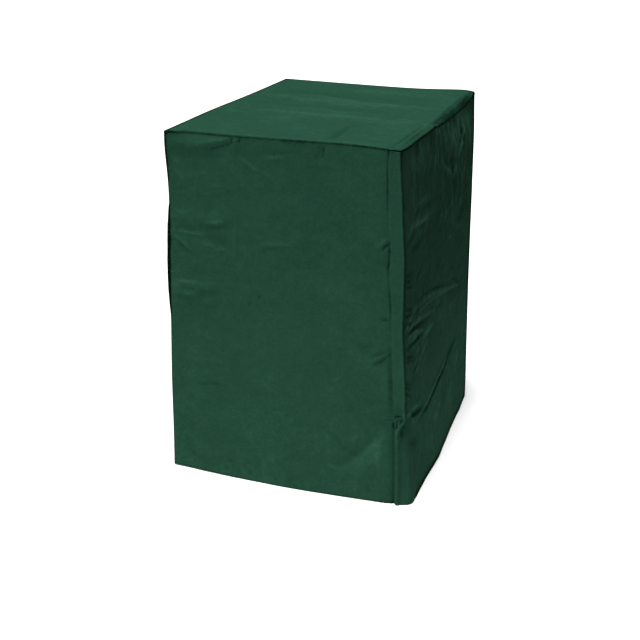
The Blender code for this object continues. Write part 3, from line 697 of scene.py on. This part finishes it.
# How much soft blotches, mottling, grain, and wear with painted light and shade count in the colour, from
# painted shade at 0 to pale at 1
BLOTCH_SHARE = 0.30
MOTTLE_SHARE = 0.35
GRAIN_SHARE = 0.35
WEAR_AND_SHADE_SHARE = 0.5
WEAVE_SHADE = 0.22
# The crumple is made of small flat facets and mottling; the threads stand a tenth of a millimetre high
FACET_LIMIT = 0.12
FACET_SHARE = 1.1
CRUMPLE_MOTTLE = 0.55
CRUMPLE_DEPTH = 0.0030
THREAD_SCALE = 260.0
THREAD_DEPTH = 0.00012


def coated_cloth(name, crumple, haze):
    """Coated plain weave: threads, a fine crumple and soft blotches, by the cut's own measures in metres."""
    material = bpy.data.materials.new(name)
    material.use_nodes = True
    nodes = material.node_tree.nodes
    links = material.node_tree.links
    shader = nodes["Principled BSDF"]

    def fill(made, sockets):
        """Give each socket of a node its value, or the output of another node."""
        for socket, value in sockets.items():
            if isinstance(value, bpy.types.NodeSocket):
                links.new(value, made.inputs[socket])
            else:
                made.inputs[socket].default_value = value

    def add(kind, sockets, **settings):
        made = nodes.new("ShaderNode" + kind)
        for setting, value in settings.items():
            setattr(made, setting, value)
        fill(made, sockets)
        return made.outputs

    def noise(scale, detail, rough):
        sockets = {"Scale": scale, "Detail": detail, "Roughness": rough, "Vector": place}
        return add("TexNoise", sockets)

    def sums(kind, first, second):
        return add("Math", {0: first, 1: second}, operation=kind)[0]

    def threads(direction):
        sockets = {"Scale": THREAD_SCALE, "Distortion": 0.6, "Detail": 1.0, "Detail Scale": 3.0}
        shape = {"wave_type": "BANDS", "wave_profile": "SIN", "bands_direction": direction}
        return add("TexWave", sockets | {"Vector": cut}, **shape)["Fac"]

    cut = add("UVMap", {}, uv_map="cut")["UV"]
    place = add("TexCoord", {})["Object"]
    # Wear and painted light and shade, kept with each point of the cloth
    wear = add("Attribute", {}, attribute_name="wear")["Fac"]
    blotches = noise(scale=9.0, detail=4.0, rough=0.55)["Fac"]
    mottle = noise(scale=55.0, detail=3.0, rough=0.6)["Fac"]
    grain = noise(scale=150.0, detail=2.0, rough=0.5)["Fac"]
    weave = sums("MULTIPLY", sums("ADD", threads("X"), threads("Y")), 0.5)

    patchy = sums("ADD", sums("MULTIPLY", blotches, BLOTCH_SHARE), sums("MULTIPLY", mottle, MOTTLE_SHARE))
    patchy = sums("ADD", patchy, sums("MULTIPLY", grain, GRAIN_SHARE))
    tone = sums("ADD", patchy, sums("MULTIPLY", wear, WEAR_AND_SHADE_SHARE))
    # From painted shade at 0 through the cloth's own green at 0.5 to rubbed and painted-lit greens above
    colour = nodes.new("ShaderNodeValToRGB")
    ramp = colour.color_ramp.elements
    ramp[0].color = SHADE_GREEN
    ramp[1].color = PALE_GREEN
    for position, green in ((0.32, DEEP_GREEN), (0.50, CLOTH_GREEN), (0.68, RUBBED_AND_LIT_GREEN)):
        ramp.new(position).color = green
    fill(colour, {"Fac": tone})
    # Sockets 6, 7 and 2 of a mix are its two colours and its result
    shade_sockets = {"Factor": WEAVE_SHADE, 6: colour.outputs["Color"], 7: weave}
    shade = add("Mix", shade_sockets, data_type="RGBA", blend_type="MULTIPLY")[2]
    rough_sockets = {"Value": mottle, "From Min": 0.3, "From Max": 0.7, "To Min": 0.58, "To Max": 0.74}
    rough = add("MapRange", rough_sockets)["Result"]

    pulled = add("TexNoise", {"Scale": 24.0, "Detail": 3.0, "Vector": place})["Color"]
    pulled = add("VectorMath", {0: pulled, 1: (0.06, 0.06, 0.06), 2: place}, operation="MULTIPLY_ADD")[0]
    facets = add("TexVoronoi", {"Scale": 60.0, "Vector": pulled}, feature="DISTANCE_TO_EDGE")["Distance"]
    facets = sums("MINIMUM", facets, FACET_LIMIT)
    broken = sums("ADD", sums("MULTIPLY", facets, FACET_SHARE), sums("MULTIPLY", mottle, CRUMPLE_MOTTLE))
    crumpled = add("Bump", {"Strength": crumple, "Distance": CRUMPLE_DEPTH, "Height": broken})["Normal"]
    woven_sockets = {"Strength": 0.35, "Distance": THREAD_DEPTH, "Height": weave, "Normal": crumpled}
    fill(shader, {
        "Base Color": shade, "Roughness": rough, "Normal": add("Bump", woven_sockets)["Normal"],
        "Metallic": 0.0, "Specular IOR Level": 0.0,
        "Sheen Weight": haze, "Sheen Roughness": 0.45, "Sheen Tint": HAZE_GREEN,
    })
    return material


def finish_piece(panel, node, material):
    """Dress a panel with its material, hang it from the root and hide the solid it stands for."""
    panel.data.materials.clear()
    panel.data.materials.append(material)
    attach(panel, "root")
    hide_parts(node)


front = make_wall(FRONT)
finish_piece(
    front, "front_panel", coated_cloth("front_cloth", crumple=0.35, haze=0.0),
)


# Right panel. The gathered wall: the same cloth, cut fuller than the top's side, so that it falls in upright
# gathers from the seam, breaks into small crinkles below them and wraps the near corner under the knot.

GROOVE_OFF = 0.006  # a groove along the near edge, above the knot
GROOVE_WIDTH = 0.006
GROOVE_DEPTH = 0.0026
GROOVE_FADE = 0.004
RIGHT_WELT_GROOVE = 0.0004
# Beyond the welt the cloth turns away in a flat facet before it rounds the corner
FACET_WIDTH = 0.022
FACET_DEPTH = 0.0016
# Painted light: it is made paler than the front, most of all high up
PALER = 0.16
PALER_ABOVE = 0.16
PALER_FROM = 0.45
PALER_FADE = 0.15
# Painted shade along the near edge, behind the welt, along the far edge and along the hem
NEAR_EDGE_BANDS = (Band(0.0, 0.0110, -1.0),)
BEHIND_WELT_BANDS = (Band(0.0062, 0.0026, -0.16),)
FAR_EDGE_BANDS = (Band(0.0, 0.0210, -1.2),)
RIGHT_HEM_BANDS = (Band(0.0, 0.0100, -1.6),)
RIGHT_HEM_FROM = 0.03
RIGHT_HEM_FADE = 0.03

RIGHT_FOLDS = laid(
    ((-150, 712), (-146, 680), (-134, 630), 10, 3),
    ((-80, 710), (-78, 670), (-66, 590), 11, -2.6),
    ((-14, 712), (-8, 660), (10, 580), 8, 3.4),
    ((26, 712), (30, 660), (48, 590), 8, 3),
    ((80, 712), (84, 680), (94, 610), 9, 2.6),
    ((138, 710), (142, 680), (150, 620), 10, -2.8),
    ((180, 700), (200, 640), (226, 550), 12, 3.4),
    ((-50, 566), (-150, 574), (-235, 572), 12, -1.2),
    ((-60, 532), (-150, 545), (-245, 540), 12, 1),
    ((225, 302), (-90, 372), (-248, 386), 12, 0.7),
    ((60, 310), (-110, 334), (-240, 346), 12, -1),
    ((176, 194), (50, 160), (-105, 148), 11, -2.6),
    ((190, 222), (60, 188), (-90, 180), 11, 2.2),
    ((-127, 143), (-192, 165), (-255, 180), 9, -1.8),
    ((100, 180), (110, 100), (105, 10), 24, -2),
    ((-40, 120), (-50, 60), (-55, 6), 22, 2.6),
    ((210, 240), (216, 120), (212, 10), 22, 2.6),
)
RIGHT_CREASES = laid(
    ((-156, 712), (-157, 700), (-158, 684), 3.6, -2.2),
    ((-71, 662), (-94, 652), (-100, 634), 3.6, 2.2),
    ((-52, 664), (-56, 646), (-60, 624), 3.6, 2),
    ((-30, 668), (-33, 651), (-33, 630), 3.4, 2),
    ((-26, 712), (-18, 683), (-6, 633), 3.8, 3.2),
    ((-12, 712), (-4, 683), (6, 640), 3.6, -2.6),
    ((-6, 635), (36, 611), (77, 587), 3.4, 1.9),
    ((16, 712), (25, 677), (33, 645), 3.8, 2.8),
    ((50, 712), (62, 680), (40, 655), 3.8, 2.8),
    ((81, 712), (78, 693), (78, 668), 3.6, 2.2),
    ((96, 712), (94, 690), (98, 664), 3.6, -1.8),
    ((166, 706), (170, 680), (159, 645), 4.2, 2.6),
    ((215, 690), (182, 644), (164, 612), 3.8, 2.6),
    ((203, 684), (172, 646), (152, 618), 3.6, -2),
    ((21, 618), (83, 597), (116, 571), 3.4, 2.1),
    ((114, 604), (136, 590), (117, 576), 3.4, 1.9),
    ((121, 591), (158, 571), (170, 537), 3.6, 2.1),
    ((161, 582), (198, 562), (200, 534), 3.6, 2.2),
    ((223, 575), (252, 556), (236, 536), 3.6, 2.1),
    ((-224, 583), (-170, 593), (-98, 589), 3.4, 1.4),
    ((-180, 580), (-119, 586), (-56, 574), 3.4, 1.2),
    ((-253, 557), (-190, 560), (-98, 540), 3.4, 1.4),
    ((-225, 546), (-147, 556), (-79, 546), 3.2, 1.2),
    ((-248, 372), (-90, 370), (228, 303), 3, 1.7),
    ((-218, 386), (-110, 380), (112, 328), 2.6, 1.2),
    ((-235, 360), (-140, 360), (20, 332), 2.6, 1.2),
    ((-240, 398), (-120, 392), (60, 350), 3.4, -1.4),
    ((-40, 372), (40, 352), (150, 326), 2.8, -1.2),
    ((-271, 363), (-180, 357), (-26, 322), 3.8, 2.6),
    ((-268, 344), (-225, 346), (-171, 330), 3.6, 2.6),
    ((-272, 335), (-215, 336), (-120, 315), 3.6, 2.6),
    ((-219, 310), (-127, 304), (-51, 298), 3.8, 1.7),
    ((-165, 290), (-100, 302), (-33, 296), 3.8, 1.7),
    ((-185, 253), (-146, 282), (-84, 280), 4.2, 1.2),
    ((-262, 353), (-200, 350), (-110, 330), 3.4, -2.6),
    ((-262, 325), (-210, 324), (-140, 308), 3.4, -2.6),
    ((-286, 410), (-262, 404), (-236, 396), 3.2, -2),
    ((-286, 396), (-258, 388), (-226, 382), 3.2, -2.2),
    ((-287, 378), (-262, 374), (-230, 366), 3, -2),
    ((120, 344), (170, 330), (206, 300), 3.4, -1.6),
    ((-286, 476), (-262, 472), (-226, 465), 3.2, -1.6),
    ((-286, 464), (-257, 459), (-232, 454), 3.2, -1.5),
    ((-286, 454), (-260, 448), (-227, 440), 3.2, -1.5),
    ((-285, 313), (-252, 301), (-211, 288), 3.2, -2.4),
    ((-285, 301), (-252, 294), (-209, 278), 3.2, -2.2),
    ((170, 190), (-30, 141), (-205, 141), 4, -3.2),
    ((170, 199), (-30, 150), (-200, 150), 3.8, 2.2),
    ((-266, 182), (-200, 162), (-150, 154), 4.2, -3),
    ((-264, 194), (-225, 183), (-175, 174), 3.8, 2),
    ((-294, 193), (-250, 187), (-229, 150), 3.6, 2.2),
    ((-293, 178), (-284, 160), (-287, 143), 5, -2.4),
    ((-289, 262), (-274, 254), (-258, 245), 3, -2.2),
    ((-289, 252), (-270, 242), (-252, 231), 3, -2.2),
    ((-291, 241), (-270, 228), (-246, 215), 3, -2),
    ((-270, 129), (-240, 111), (-210, 100), 10, -2),
)
RIGHT_SCATTER = (
    Scatter(60, (-0.24, 0.58), (0.27, 0.70), 95, 10, 0.060, 0.0034, 0.0016),
    Scatter(70, (-0.04, 0.47), (0.27, 0.64), 70, 35, 0.036, 0.0034, 0.0014),
    Scatter(60, (-0.285, 0.24), (-0.15, 0.60), 14, 16, 0.050, 0.0030, 0.0012),
    Scatter(60, (-0.16, 0.30), (0.24, 0.54), 25, 35, 0.045, 0.0034, 0.0010),
    Scatter(50, (-0.20, 0.06), (0.24, 0.32), 35, 30, 0.045, 0.0036, 0.0009),
    Scatter(20, (-0.26, 0.03), (0.26, 0.12), 90, 30, 0.040, 0.0060, 0.0007),
)


def right_relief(total, fine, worn_and_shaded, across, up, from_left, from_right):
    """Add the right wall's own things: the groove along the near edge, the facet beyond the welt, painted
    light that makes it paler and painted shade along its edges and hem."""
    above = above_knot(up)
    total += welt_rise(from_left, up, RIGHT_WELT_GROOVE)
    groove = np.exp(-(((from_left - GROOVE_OFF) / GROOVE_WIDTH) ** 2)) * smooth(from_left / GROOVE_FADE)
    total -= GROOVE_DEPTH * above * groove
    total -= below_knot(up) * FACET_DEPTH * np.sin(math.pi * np.clip(from_left / FACET_WIDTH, 0, 1))
    # Painted light makes the wall paler; painted shade darkens its edges and hem
    worn_and_shaded += PALER + PALER_ABOVE * smooth((up - PALER_FROM) / PALER_FADE)
    worn_and_shaded += above * shaded(from_left, NEAR_EDGE_BANDS) + (1 - above) * shaded(from_left, BEHIND_WELT_BANDS)
    worn_and_shaded += shaded(from_right, FAR_EDGE_BANDS)
    worn_and_shaded += smooth((from_left - RIGHT_HEM_FROM) / RIGHT_HEM_FADE) * shaded(up - HEM_RISE, RIGHT_HEM_BANDS)


RIGHT = Wall(
    "right_panel", along=(0, 1), out=(1, 0), half=DEPTH / 2, set_out=WIDTH / 2, near_side="left",
    folds=RIGHT_FOLDS, creases=RIGHT_CREASES, scatter=RIGHT_SCATTER, own=right_relief,
    rumple=1.3, seed=23, wear=0.70, step=0.0042, row_step=0.0030,
)

right = make_wall(RIGHT)
finish_piece(
    right, "right_panel", coated_cloth("right_cloth", crumple=0.5, haze=0.014),
)


# Back and left panels. The same cloth again, plainer cuts that the picture hides but for a sliver, painted in
# deep
# shade, at the front left edge: a few gathers under the seam and the broad, lazy folds of a cover that hangs
# free.

# Painted shade along the back's edge at the far right corner
BACK_EDGE_BANDS = (Band(0.0, 0.0090, -1.3),)
# Painted shade along the left wall's front edge
LEFT_CORNER_BANDS = (Band(0.0, 0.0050, -1.0),)
# The bulge of the left wall that shows as a dark sliver past the front left edge is painted in deep shade
BULGE_SHADE = 1.1
BULGE_LOW = 0.25
BULGE_HIGH = 0.52
BULGE_FADE = 0.10
BULGE_WIDTH = 0.008
BULGE_SIDE_FADE = 0.030

BACK_FOLDS = laid(
    ((-150, 706), (-146, 660), (-158, 600), 14, 4),
    ((-20, 706), (-26, 660), (-18, 590), 14, -4),
    ((100, 706), (104, 670), (92, 620), 13, 3.6),
    ((-200, 480), (-80, 420), (80, 400), 22, -4.6),
    ((200, 330), (80, 260), (-60, 230), 22, 4.6),
    ((-120, 220), (-130, 110), (-120, 10), 30, 5),
    ((60, 200), (70, 100), (64, 10), 30, -4.8),
)
BACK_CREASES = laid(
    ((-152, 712), (-150, 690), (-154, 655), 4, 1.8),
    ((-60, 712), (-62, 690), (-58, 660), 4, -1.6),
    ((102, 712), (104, 690), (99, 650), 4, 1.8),
    ((-190, 470), (-90, 424), (40, 408), 6, -1.8),
    ((190, 322), (90, 268), (-30, 240), 6, 1.8),
    ((200, 560), (150, 520), (90, 500), 5.5, 1.4),
)
BACK_SCATTER = (
    Scatter(50, (-0.20, 0.60), (0.20, 0.70), 90, 20, 0.036, 0.0040, 0.0008),
    Scatter(70, (-0.20, 0.06), (0.20, 0.58), 30, 70, 0.032, 0.0042, 0.0007),
)
LEFT_FOLDS = laid(
    ((286, 575), (286, 500), (289, 330), 8, 9),
    ((-180, 706), (-176, 660), (-190, 590), 14, -4.2),
    ((-60, 706), (-56, 650), (-70, 580), 14, 4.4),
    ((60, 706), (54, 670), (68, 610), 13, -3.8),
    ((180, 706), (184, 660), (172, 600), 14, 4),
    ((250, 440), (120, 400), (-60, 420), 20, -4.8),
    ((-250, 340), (-120, 270), (60, 240), 22, 5),
    ((-110, 210), (-120, 100), (-108, 10), 30, -5),
    ((140, 200), (130, 100), (140, 10), 30, 5),
)
LEFT_CREASES = laid(
    ((-182, 712), (-178, 690), (-184, 650), 4, -1.8),
    ((-58, 712), (-56, 690), (-62, 640), 4, 2),
    ((60, 712), (57, 690), (63, 650), 4, -1.8),
    ((182, 712), (184, 690), (176, 650), 4, 1.8),
    ((240, 436), (130, 404), (-30, 416), 6, -2),
    ((-230, 332), (-120, 276), (30, 248), 6, 2),
    ((230, 610), (200, 540), (190, 480), 5.5, 1.4),
)
LEFT_SCATTER = (
    Scatter(60, (-0.26, 0.60), (0.26, 0.70), 90, 20, 0.036, 0.0040, 0.0008),
    Scatter(90, (-0.26, 0.06), (0.26, 0.58), 150, 60, 0.034, 0.0042, 0.0007),
)


def back_relief(total, fine, worn_and_shaded, across, up, from_left, from_right):
    """Painted shade: darken the back's edge at the far right corner."""
    worn_and_shaded += shaded(from_left, BACK_EDGE_BANDS)


def left_relief(total, fine, worn_and_shaded, across, up, from_left, from_right):
    """Painted shade: darken the left wall along the front left edge, and more on its bulge."""
    on_bulge = between(up, BULGE_LOW, BULGE_HIGH, BULGE_FADE)
    worn_and_shaded -= BULGE_SHADE * on_bulge * (1 - smooth((from_right - BULGE_WIDTH) / BULGE_SIDE_FADE))
    worn_and_shaded += shaded(from_right, LEFT_CORNER_BANDS)


BACK = Wall(
    "back_panel", along=(-1, 0), out=(0, 1), half=WIDTH / 2, set_out=DEPTH / 2, near_side=None,
    folds=BACK_FOLDS, creases=BACK_CREASES, scatter=BACK_SCATTER, own=back_relief,
    rumple=1.2, seed=53, wear=0.40, step=0.0032, row_step=0.0032,
)
LEFT = Wall(
    "left_panel", along=(0, -1), out=(-1, 0), half=DEPTH / 2, set_out=WIDTH / 2, near_side=None,
    folds=LEFT_FOLDS, creases=LEFT_CREASES, scatter=LEFT_SCATTER, own=left_relief,
    rumple=1.2, seed=67, wear=0.40, step=0.0034, row_step=0.0032,
)

back = make_wall(BACK)
finish_piece(
    back, "back_panel", coated_cloth("back_cloth", crumple=0.4, haze=0.0),
)
left = make_wall(LEFT)
finish_piece(
    left, "left_panel", coated_cloth("left_cloth", crumple=0.4, haze=0.0),
)


# Top panel. A plain rectangle of the same cloth, drawn tight over the furniture so that fine ripples cross
# it, its edge turned down all round and sewn to the walls' rims.

OVERHANG = 0.0008
TOP_STEP = 0.0027
TOP_FADE = 0.02  # where the ripples die out before the rim, as a share of the way out
TOP_RUMPLE = 0.7
TOP_SEED = 37
TOP_SCATTER_SEED = 41
CORNERS_ROUND_FROM = 0.94  # the lines are straight up to here, as a share of the way out
TOP_LIP_END = -0.20  # the lip of the right side ends here, as a share of half the depth
TOP_LIP_END_FADE = 0.15
RIGHT_ROUND = 0.018  # the top rounds over its right side before the seam
RIGHT_DROP = 0.0020
TOP_LIP_DROP = 0.4  # of that drop, along the lip
DROP_END = 0.04  # it fades over this share of half the depth at each end

# Its ripples get less painted light and shade than the walls' creases. The turned edge is painted dark on the
# two sides that show, and so is the outline of the two far sides. Places are given as shares of the way out.
TOP_WEAR_AND_SHADE = 0.36
TROUGH_LIMIT = 0.5
TOP_EDGE_SHADE = 0.52
EDGE_FROM = 0.99
DARKER_TO_RIGHT = 0.6
ROLLED_PALER = 0.7
EDGE_DOWN = 0.0008  # the shade of the turned edge starts this far down
EDGE_DOWN_FADE = 0.002
TOP_OUTLINE_SHADE = 0.75
OUTLINE_FROM = 0.985
OUTLINE_FADE = 0.012
ROLL_SHADE = 0.60  # painted shade where it rounds over, beyond the lip
ROLL_START = 2.0  # the higher, the further in the shade is full
# Painted shade along the lip, in front of where it rolls over
TOP_LIP_SHADE = 0.32
TOP_LIP_START = 2.5
# Painted shade: a small dark pucker where three seams meet at the near corner
PUCKER = (0.218, -0.288)
PUCKER_REACH = 0.0042
PUCKER_SHADE = 1.10

# The rim: rings of points that go out and down over the walls
RING_STEP = 0.012
TURN_START = 0.0026  # the cloth faces sideways from this far down
Ring = namedtuple("Ring", "inset down")
RIM = (
    Ring(0.0060, 0.0000),
    Ring(0.0044, -0.0002),
    Ring(0.0030, -0.0003),
    Ring(0.0016, 0.0002),
    Ring(0.0006, 0.0012),
    Ring(0.0, 0.0026),
    Ring(0.0003, TURNED_EDGE),
)
TOP_FOLDS = laid(
    ((88, -270), (78, -195), (77, -110), 9, -2.4),
    ((-170, -60), (-20, -40), (140, -50), 16, 1.4),
    ((-190, 20), (-40, 34), (110, 20), 16, -1.6),
    ((-150, 90), (10, 100), (190, 86), 17, 1.6),
    ((-190, 160), (-30, 170), (90, 158), 17, -1.6),
    ((-80, 220), (60, 228), (180, 220), 16, 1.4),
    ((209, -268), (207, -161), (211, -62), 5, -1),
    ((210, -64), (216, -61), (222, -58), 5, 4),
    ((60, 222), (106, 216), (156, 224), 9, -1.8),
    ((210, -294), (212, -282), (214, -270), 7, -3.4),
)
TOP_CREASES = laid(
    ((89, -268), (78, -190), (77, -112), 3.6, -1.8),
    ((100, -262), (90, -205), (86, -150), 4.4, 1.2),
    ((209, -266), (207, -161), (210, -64), 2.6, -2.6),
    ((215, -262), (213, -161), (216, -70), 2.8, 1.4),
    ((211, -50), (218, -47), (226, -44), 3.4, -2),
    ((224, -45), (216, 94), (215, 246), 3.4, -1.4),
    ((215, -40), (208, 94), (207, 240), 4, 0.8),
    ((-156, 232), (-9, 232), (192, 250), 4.4, -1.2),
    ((-150, 240), (-5, 240), (190, 258), 4.4, 1),
    ((74, 214), (88, 210), (102, 214), 4.4, 1.6),
    ((112, 214), (126, 210), (140, 214), 4.4, 1.6),
    ((-46, 66), (0, 69), (49, 66), 4, 1.1),
    ((-110, 74), (-65, 85), (-20, 90), 4, 1.1),
    ((22, 3), (68, -1), (116, -9), 4, 1.1),
    ((-93, 9), (-52, 18), (-10, 21), 4, 1.1),
    ((211, -292), (213, -282), (214, -271), 3.6, -2),
)
TOP_SCATTER = (
    Scatter(40, (-0.20, -0.16), (0.19, 0.20), 3, 8, 0.100, 0.0046, 0.0007),
    Scatter(50, (-0.20, -0.10), (0.17, 0.12), 3, 8, 0.070, 0.0038, 0.0008),
    Scatter(24, (-0.18, -0.28), (0.20, 0.26), 20, 60, 0.050, 0.0046, 0.0005),
)


def top_places(first, second, reach, inset):
    """Plan places and outward directions of the top's points, on straight lines that round off at the rim."""
    divisor = np.where(reach > 0, reach, 1)
    inner_half = np.array((WIDTH / 2, DEPTH / 2)) + OVERHANG - RIM[0].inset
    flat = np.column_stack([first, second]) * inner_half
    to_edge = smooth((reach - CORNERS_ROUND_FROM) / (1 - CORNERS_ROUND_FROM))[:, None]
    plan = np.zeros((len(first), 2))
    facing = np.zeros((len(first), 2))
    for wall in (FRONT, RIGHT, BACK, LEFT):
        along = first * wall.along[0] + second * wall.along[1]
        out = first * wall.out[0] + second * wall.out[1]
        on_wall = np.isclose(out, reach)
        half = wall.half + OVERHANG - CORNER_SHORTENING * (CORNER_ROUND + OVERHANG)
        edge, turned = plain_place(wall, along / divisor * half, CORNER_ROUND, CORNER_ROUND, OVERHANG)
        edge -= turned * inset[:, None]
        plan[on_wall] = (flat + (edge * np.minimum(reach, 1)[:, None] - flat) * to_edge)[on_wall]
        facing[on_wall] = turned[on_wall]
    return plan, facing


def top_wear_and_shade(relief, plan, first, second, reach, down, to_right, behind_lip):
    """Painted light on its ripples; painted shade on the turned edge, the far sides' outline, the lip, where
    it rolls over and in the pucker.
    """
    worn_and_shaded = np.clip(relief / WORN_AND_SHADED_RISE, -TROUGH_LIMIT, 1) * TOP_WEAR_AND_SHADE
    shown_edge = (second < -EDGE_FROM) | (first > EDGE_FROM)
    rolled = behind_lip * (first > EDGE_FROM)
    edge_shade = TOP_EDGE_SHADE * (1 + DARKER_TO_RIGHT * first) * (1 - ROLLED_PALER * rolled)
    worn_and_shaded -= edge_shade * smooth((down - EDGE_DOWN) / EDGE_DOWN_FADE) * shown_edge
    far_sides = (first < -OUTLINE_FROM) | (second > OUTLINE_FROM)
    worn_and_shaded -= TOP_OUTLINE_SHADE * smooth((reach - OUTLINE_FROM) / OUTLINE_FADE) * far_sides
    worn_and_shaded -= ROLL_SHADE * smooth(ROLL_START * to_right) * behind_lip
    worn_and_shaded -= TOP_LIP_SHADE * smooth(TOP_LIP_START * to_right) * (1 - behind_lip)
    from_pucker = np.hypot(plan[:, 0] - PUCKER[0], plan[:, 1] - PUCKER[1])
    return worn_and_shaded - PUCKER_SHADE * np.exp(-((from_pucker / PUCKER_REACH) ** 2))


def make_top():
    """The top: fine lines over the flat part, whose outer rings turn down over the walls."""
    lines = []
    for length in (WIDTH, DEPTH):
        flat_part = list(np.linspace(-1, 1, round(length / TOP_STEP) + 1))
        past = [1 + RING_STEP * number for number in range(1, len(RIM))]
        lines.append(np.array([-p for p in reversed(past)] + flat_part + past))
    first, second = grid_lines(*lines)
    reach = np.maximum(np.abs(first), np.abs(second))
    ring = np.rint(np.maximum(reach - 1, 0) / RING_STEP).astype(int)
    inset = np.array([r.inset for r in RIM])[ring]
    down = np.array([r.down for r in RIM])[ring]
    plan, facing = top_places(first, second, reach, inset)
    relief = rumple(plan[:, 0], plan[:, 1], TOP_SEED) * TOP_RUMPLE
    for fold in TOP_FOLDS + TOP_CREASES:
        add_fold(relief, plan[:, 0], plan[:, 1], fold)
    for crease in scattered(TOP_SCATTER, TOP_SCATTER_SEED):
        add_fold(relief, plan[:, 0], plan[:, 1], crease, SHORT_STEPS, CREASE_CRISP)
    relief *= smooth((1 - reach) / TOP_FADE)
    to_right = np.clip((plan[:, 0] - WIDTH / 2 + RIGHT_ROUND) / RIGHT_ROUND, 0, 1)
    behind_lip = smooth((second - TOP_LIP_END) / TOP_LIP_END_FADE)
    worn_and_shaded = top_wear_and_shade(relief, plan, first, second, reach, down, to_right, behind_lip)
    along_side = smooth((1 - np.abs(second)) / DROP_END) * (TOP_LIP_DROP + (1 - TOP_LIP_DROP) * behind_lip)
    relief -= RIGHT_DROP * to_right**2 * along_side
    folded = hang(plan, HEIGHT - down)
    folded[:, 2] += relief
    turned_over = smooth(down / TURN_START)
    outward = np.column_stack([facing * turned_over[:, None], 1 - turned_over])
    outward /= np.linalg.norm(outward, axis=1)[:, None]
    return sewn_piece("top_panel_cloth", lines[0], lines[1], folded, outward, plan, worn_and_shaded)


top = make_top()
finish_piece(
    top, "top_panel", coated_cloth("top_cloth", crumple=0.3, haze=0.0),
)


# Studio: a plain pale floor, soft light from above and from the front left, and the camera of the picture.

FLOOR_GAP = 0.0004
FLOOR_SIZE = 240


def plain_paint(name, brightness):
    """Matt neutral paint."""
    paint = bpy.data.materials.new(name)
    paint.use_nodes = True
    shader = paint.node_tree.nodes["Principled BSDF"]
    shader.inputs["Base Color"].default_value = (brightness, brightness, brightness, 1.0)
    shader.inputs["Roughness"].default_value = 1.0
    shader.inputs["Specular IOR Level"].default_value = 0.0
    return paint


def studio_floor(name, height, brightness):
    """A wide level sheet of matt paint."""
    bpy.ops.mesh.primitive_plane_add(size=FLOOR_SIZE, location=(0, 0, height))
    sheet = bpy.context.object
    sheet.name = name
    sheet.data.materials.append(plain_paint(name + "_paint", brightness))
    return sheet


# The camera sees one floor; the other, a little below it, sends the light back up
seen_floor = studio_floor("seen_floor", cad_low.z - FLOOR_GAP, brightness=0.98)
seen_floor.visible_diffuse = False
seen_floor.visible_shadow = False
lighting_floor = studio_floor("lighting_floor", cad_low.z - 2 * FLOOR_GAP, brightness=0.66)
lighting_floor.visible_camera = False


def wide_light(name, toward, width, strength):
    """Even light from far off: a big scrim as wide as the given angle, shining along a direction."""
    lamp = bpy.data.lights.new(name, "SUN")
    lamp.angle = math.radians(width)
    lamp.energy = strength
    stand = bpy.data.objects.new(name, lamp)
    stand.rotation_euler = Vector(toward).to_track_quat("-Z", "Y").to_euler()
    bpy.context.scene.collection.objects.link(stand)


wide_light("overhead_light", toward=(0.02, 0.16, -0.99), width=24, strength=4.65)
wide_light("front_left_light", toward=(0.66, 0.68, -0.20), width=34, strength=1.3)

# A dark screen stands out of the picture at the right and keeps light off the right wall
SCREEN_OUT = 1.1
SCREEN_BACK = 0.6
SCREEN_LONG = 4.0
SCREEN_TALL = 2.4
screen_place = (SCREEN_OUT, SCREEN_BACK, cad_low.z + SCREEN_TALL / 2)
bpy.ops.mesh.primitive_plane_add(size=1, location=screen_place, rotation=(0, math.pi / 2, 0))
screen = bpy.context.object
screen.name = "dark_screen_right"
screen.scale = (SCREEN_TALL, SCREEN_LONG, 1)
screen.data.materials.append(plain_paint("dark_screen_paint", brightness=0.01))
screen.visible_camera = False

AIR_LIGHT = 0.115
world = bpy.data.worlds.new("studio_air")
world.use_nodes = True
world.node_tree.nodes["Background"].inputs["Color"].default_value = (1.0, 1.0, 1.0, 1.0)
world.node_tree.nodes["Background"].inputs["Strength"].default_value = AIR_LIGHT
bpy.context.scene.world = world
bpy.context.scene.view_settings.view_transform = "Standard"

# The camera: where it stands, how far it turns left, looks down and leans, in degrees, and its lens in mm
CAMERA_PLACE = Vector((0.9331, -2.6715, 0.5783))
CAMERA_TURN = math.radians(19.74)
CAMERA_DROP = math.radians(20.15)
CAMERA_ROLL = math.radians(0.92)
LENS = 77.64
SENSOR = 36.0

lens = bpy.data.cameras.new("picture_camera")
lens.lens = LENS
lens.sensor_width = SENSOR
camera = bpy.data.objects.new("picture_camera", lens)
bpy.context.scene.collection.objects.link(camera)
forward = Vector((
    -math.sin(CAMERA_TURN) * math.cos(CAMERA_DROP),
    math.cos(CAMERA_TURN) * math.cos(CAMERA_DROP),
    -math.sin(CAMERA_DROP),
))
level = Vector((math.cos(CAMERA_TURN), math.sin(CAMERA_TURN), 0))
upward = level.cross(forward)
image_right = math.cos(CAMERA_ROLL) * level + math.sin(CAMERA_ROLL) * upward
image_up = math.cos(CAMERA_ROLL) * upward - math.sin(CAMERA_ROLL) * level
turned = Matrix((image_right, image_up, -forward)).transposed().to_4x4()
camera.matrix_world = Matrix.Translation(CAMERA_PLACE) @ turned
bpy.context.scene.camera = camera
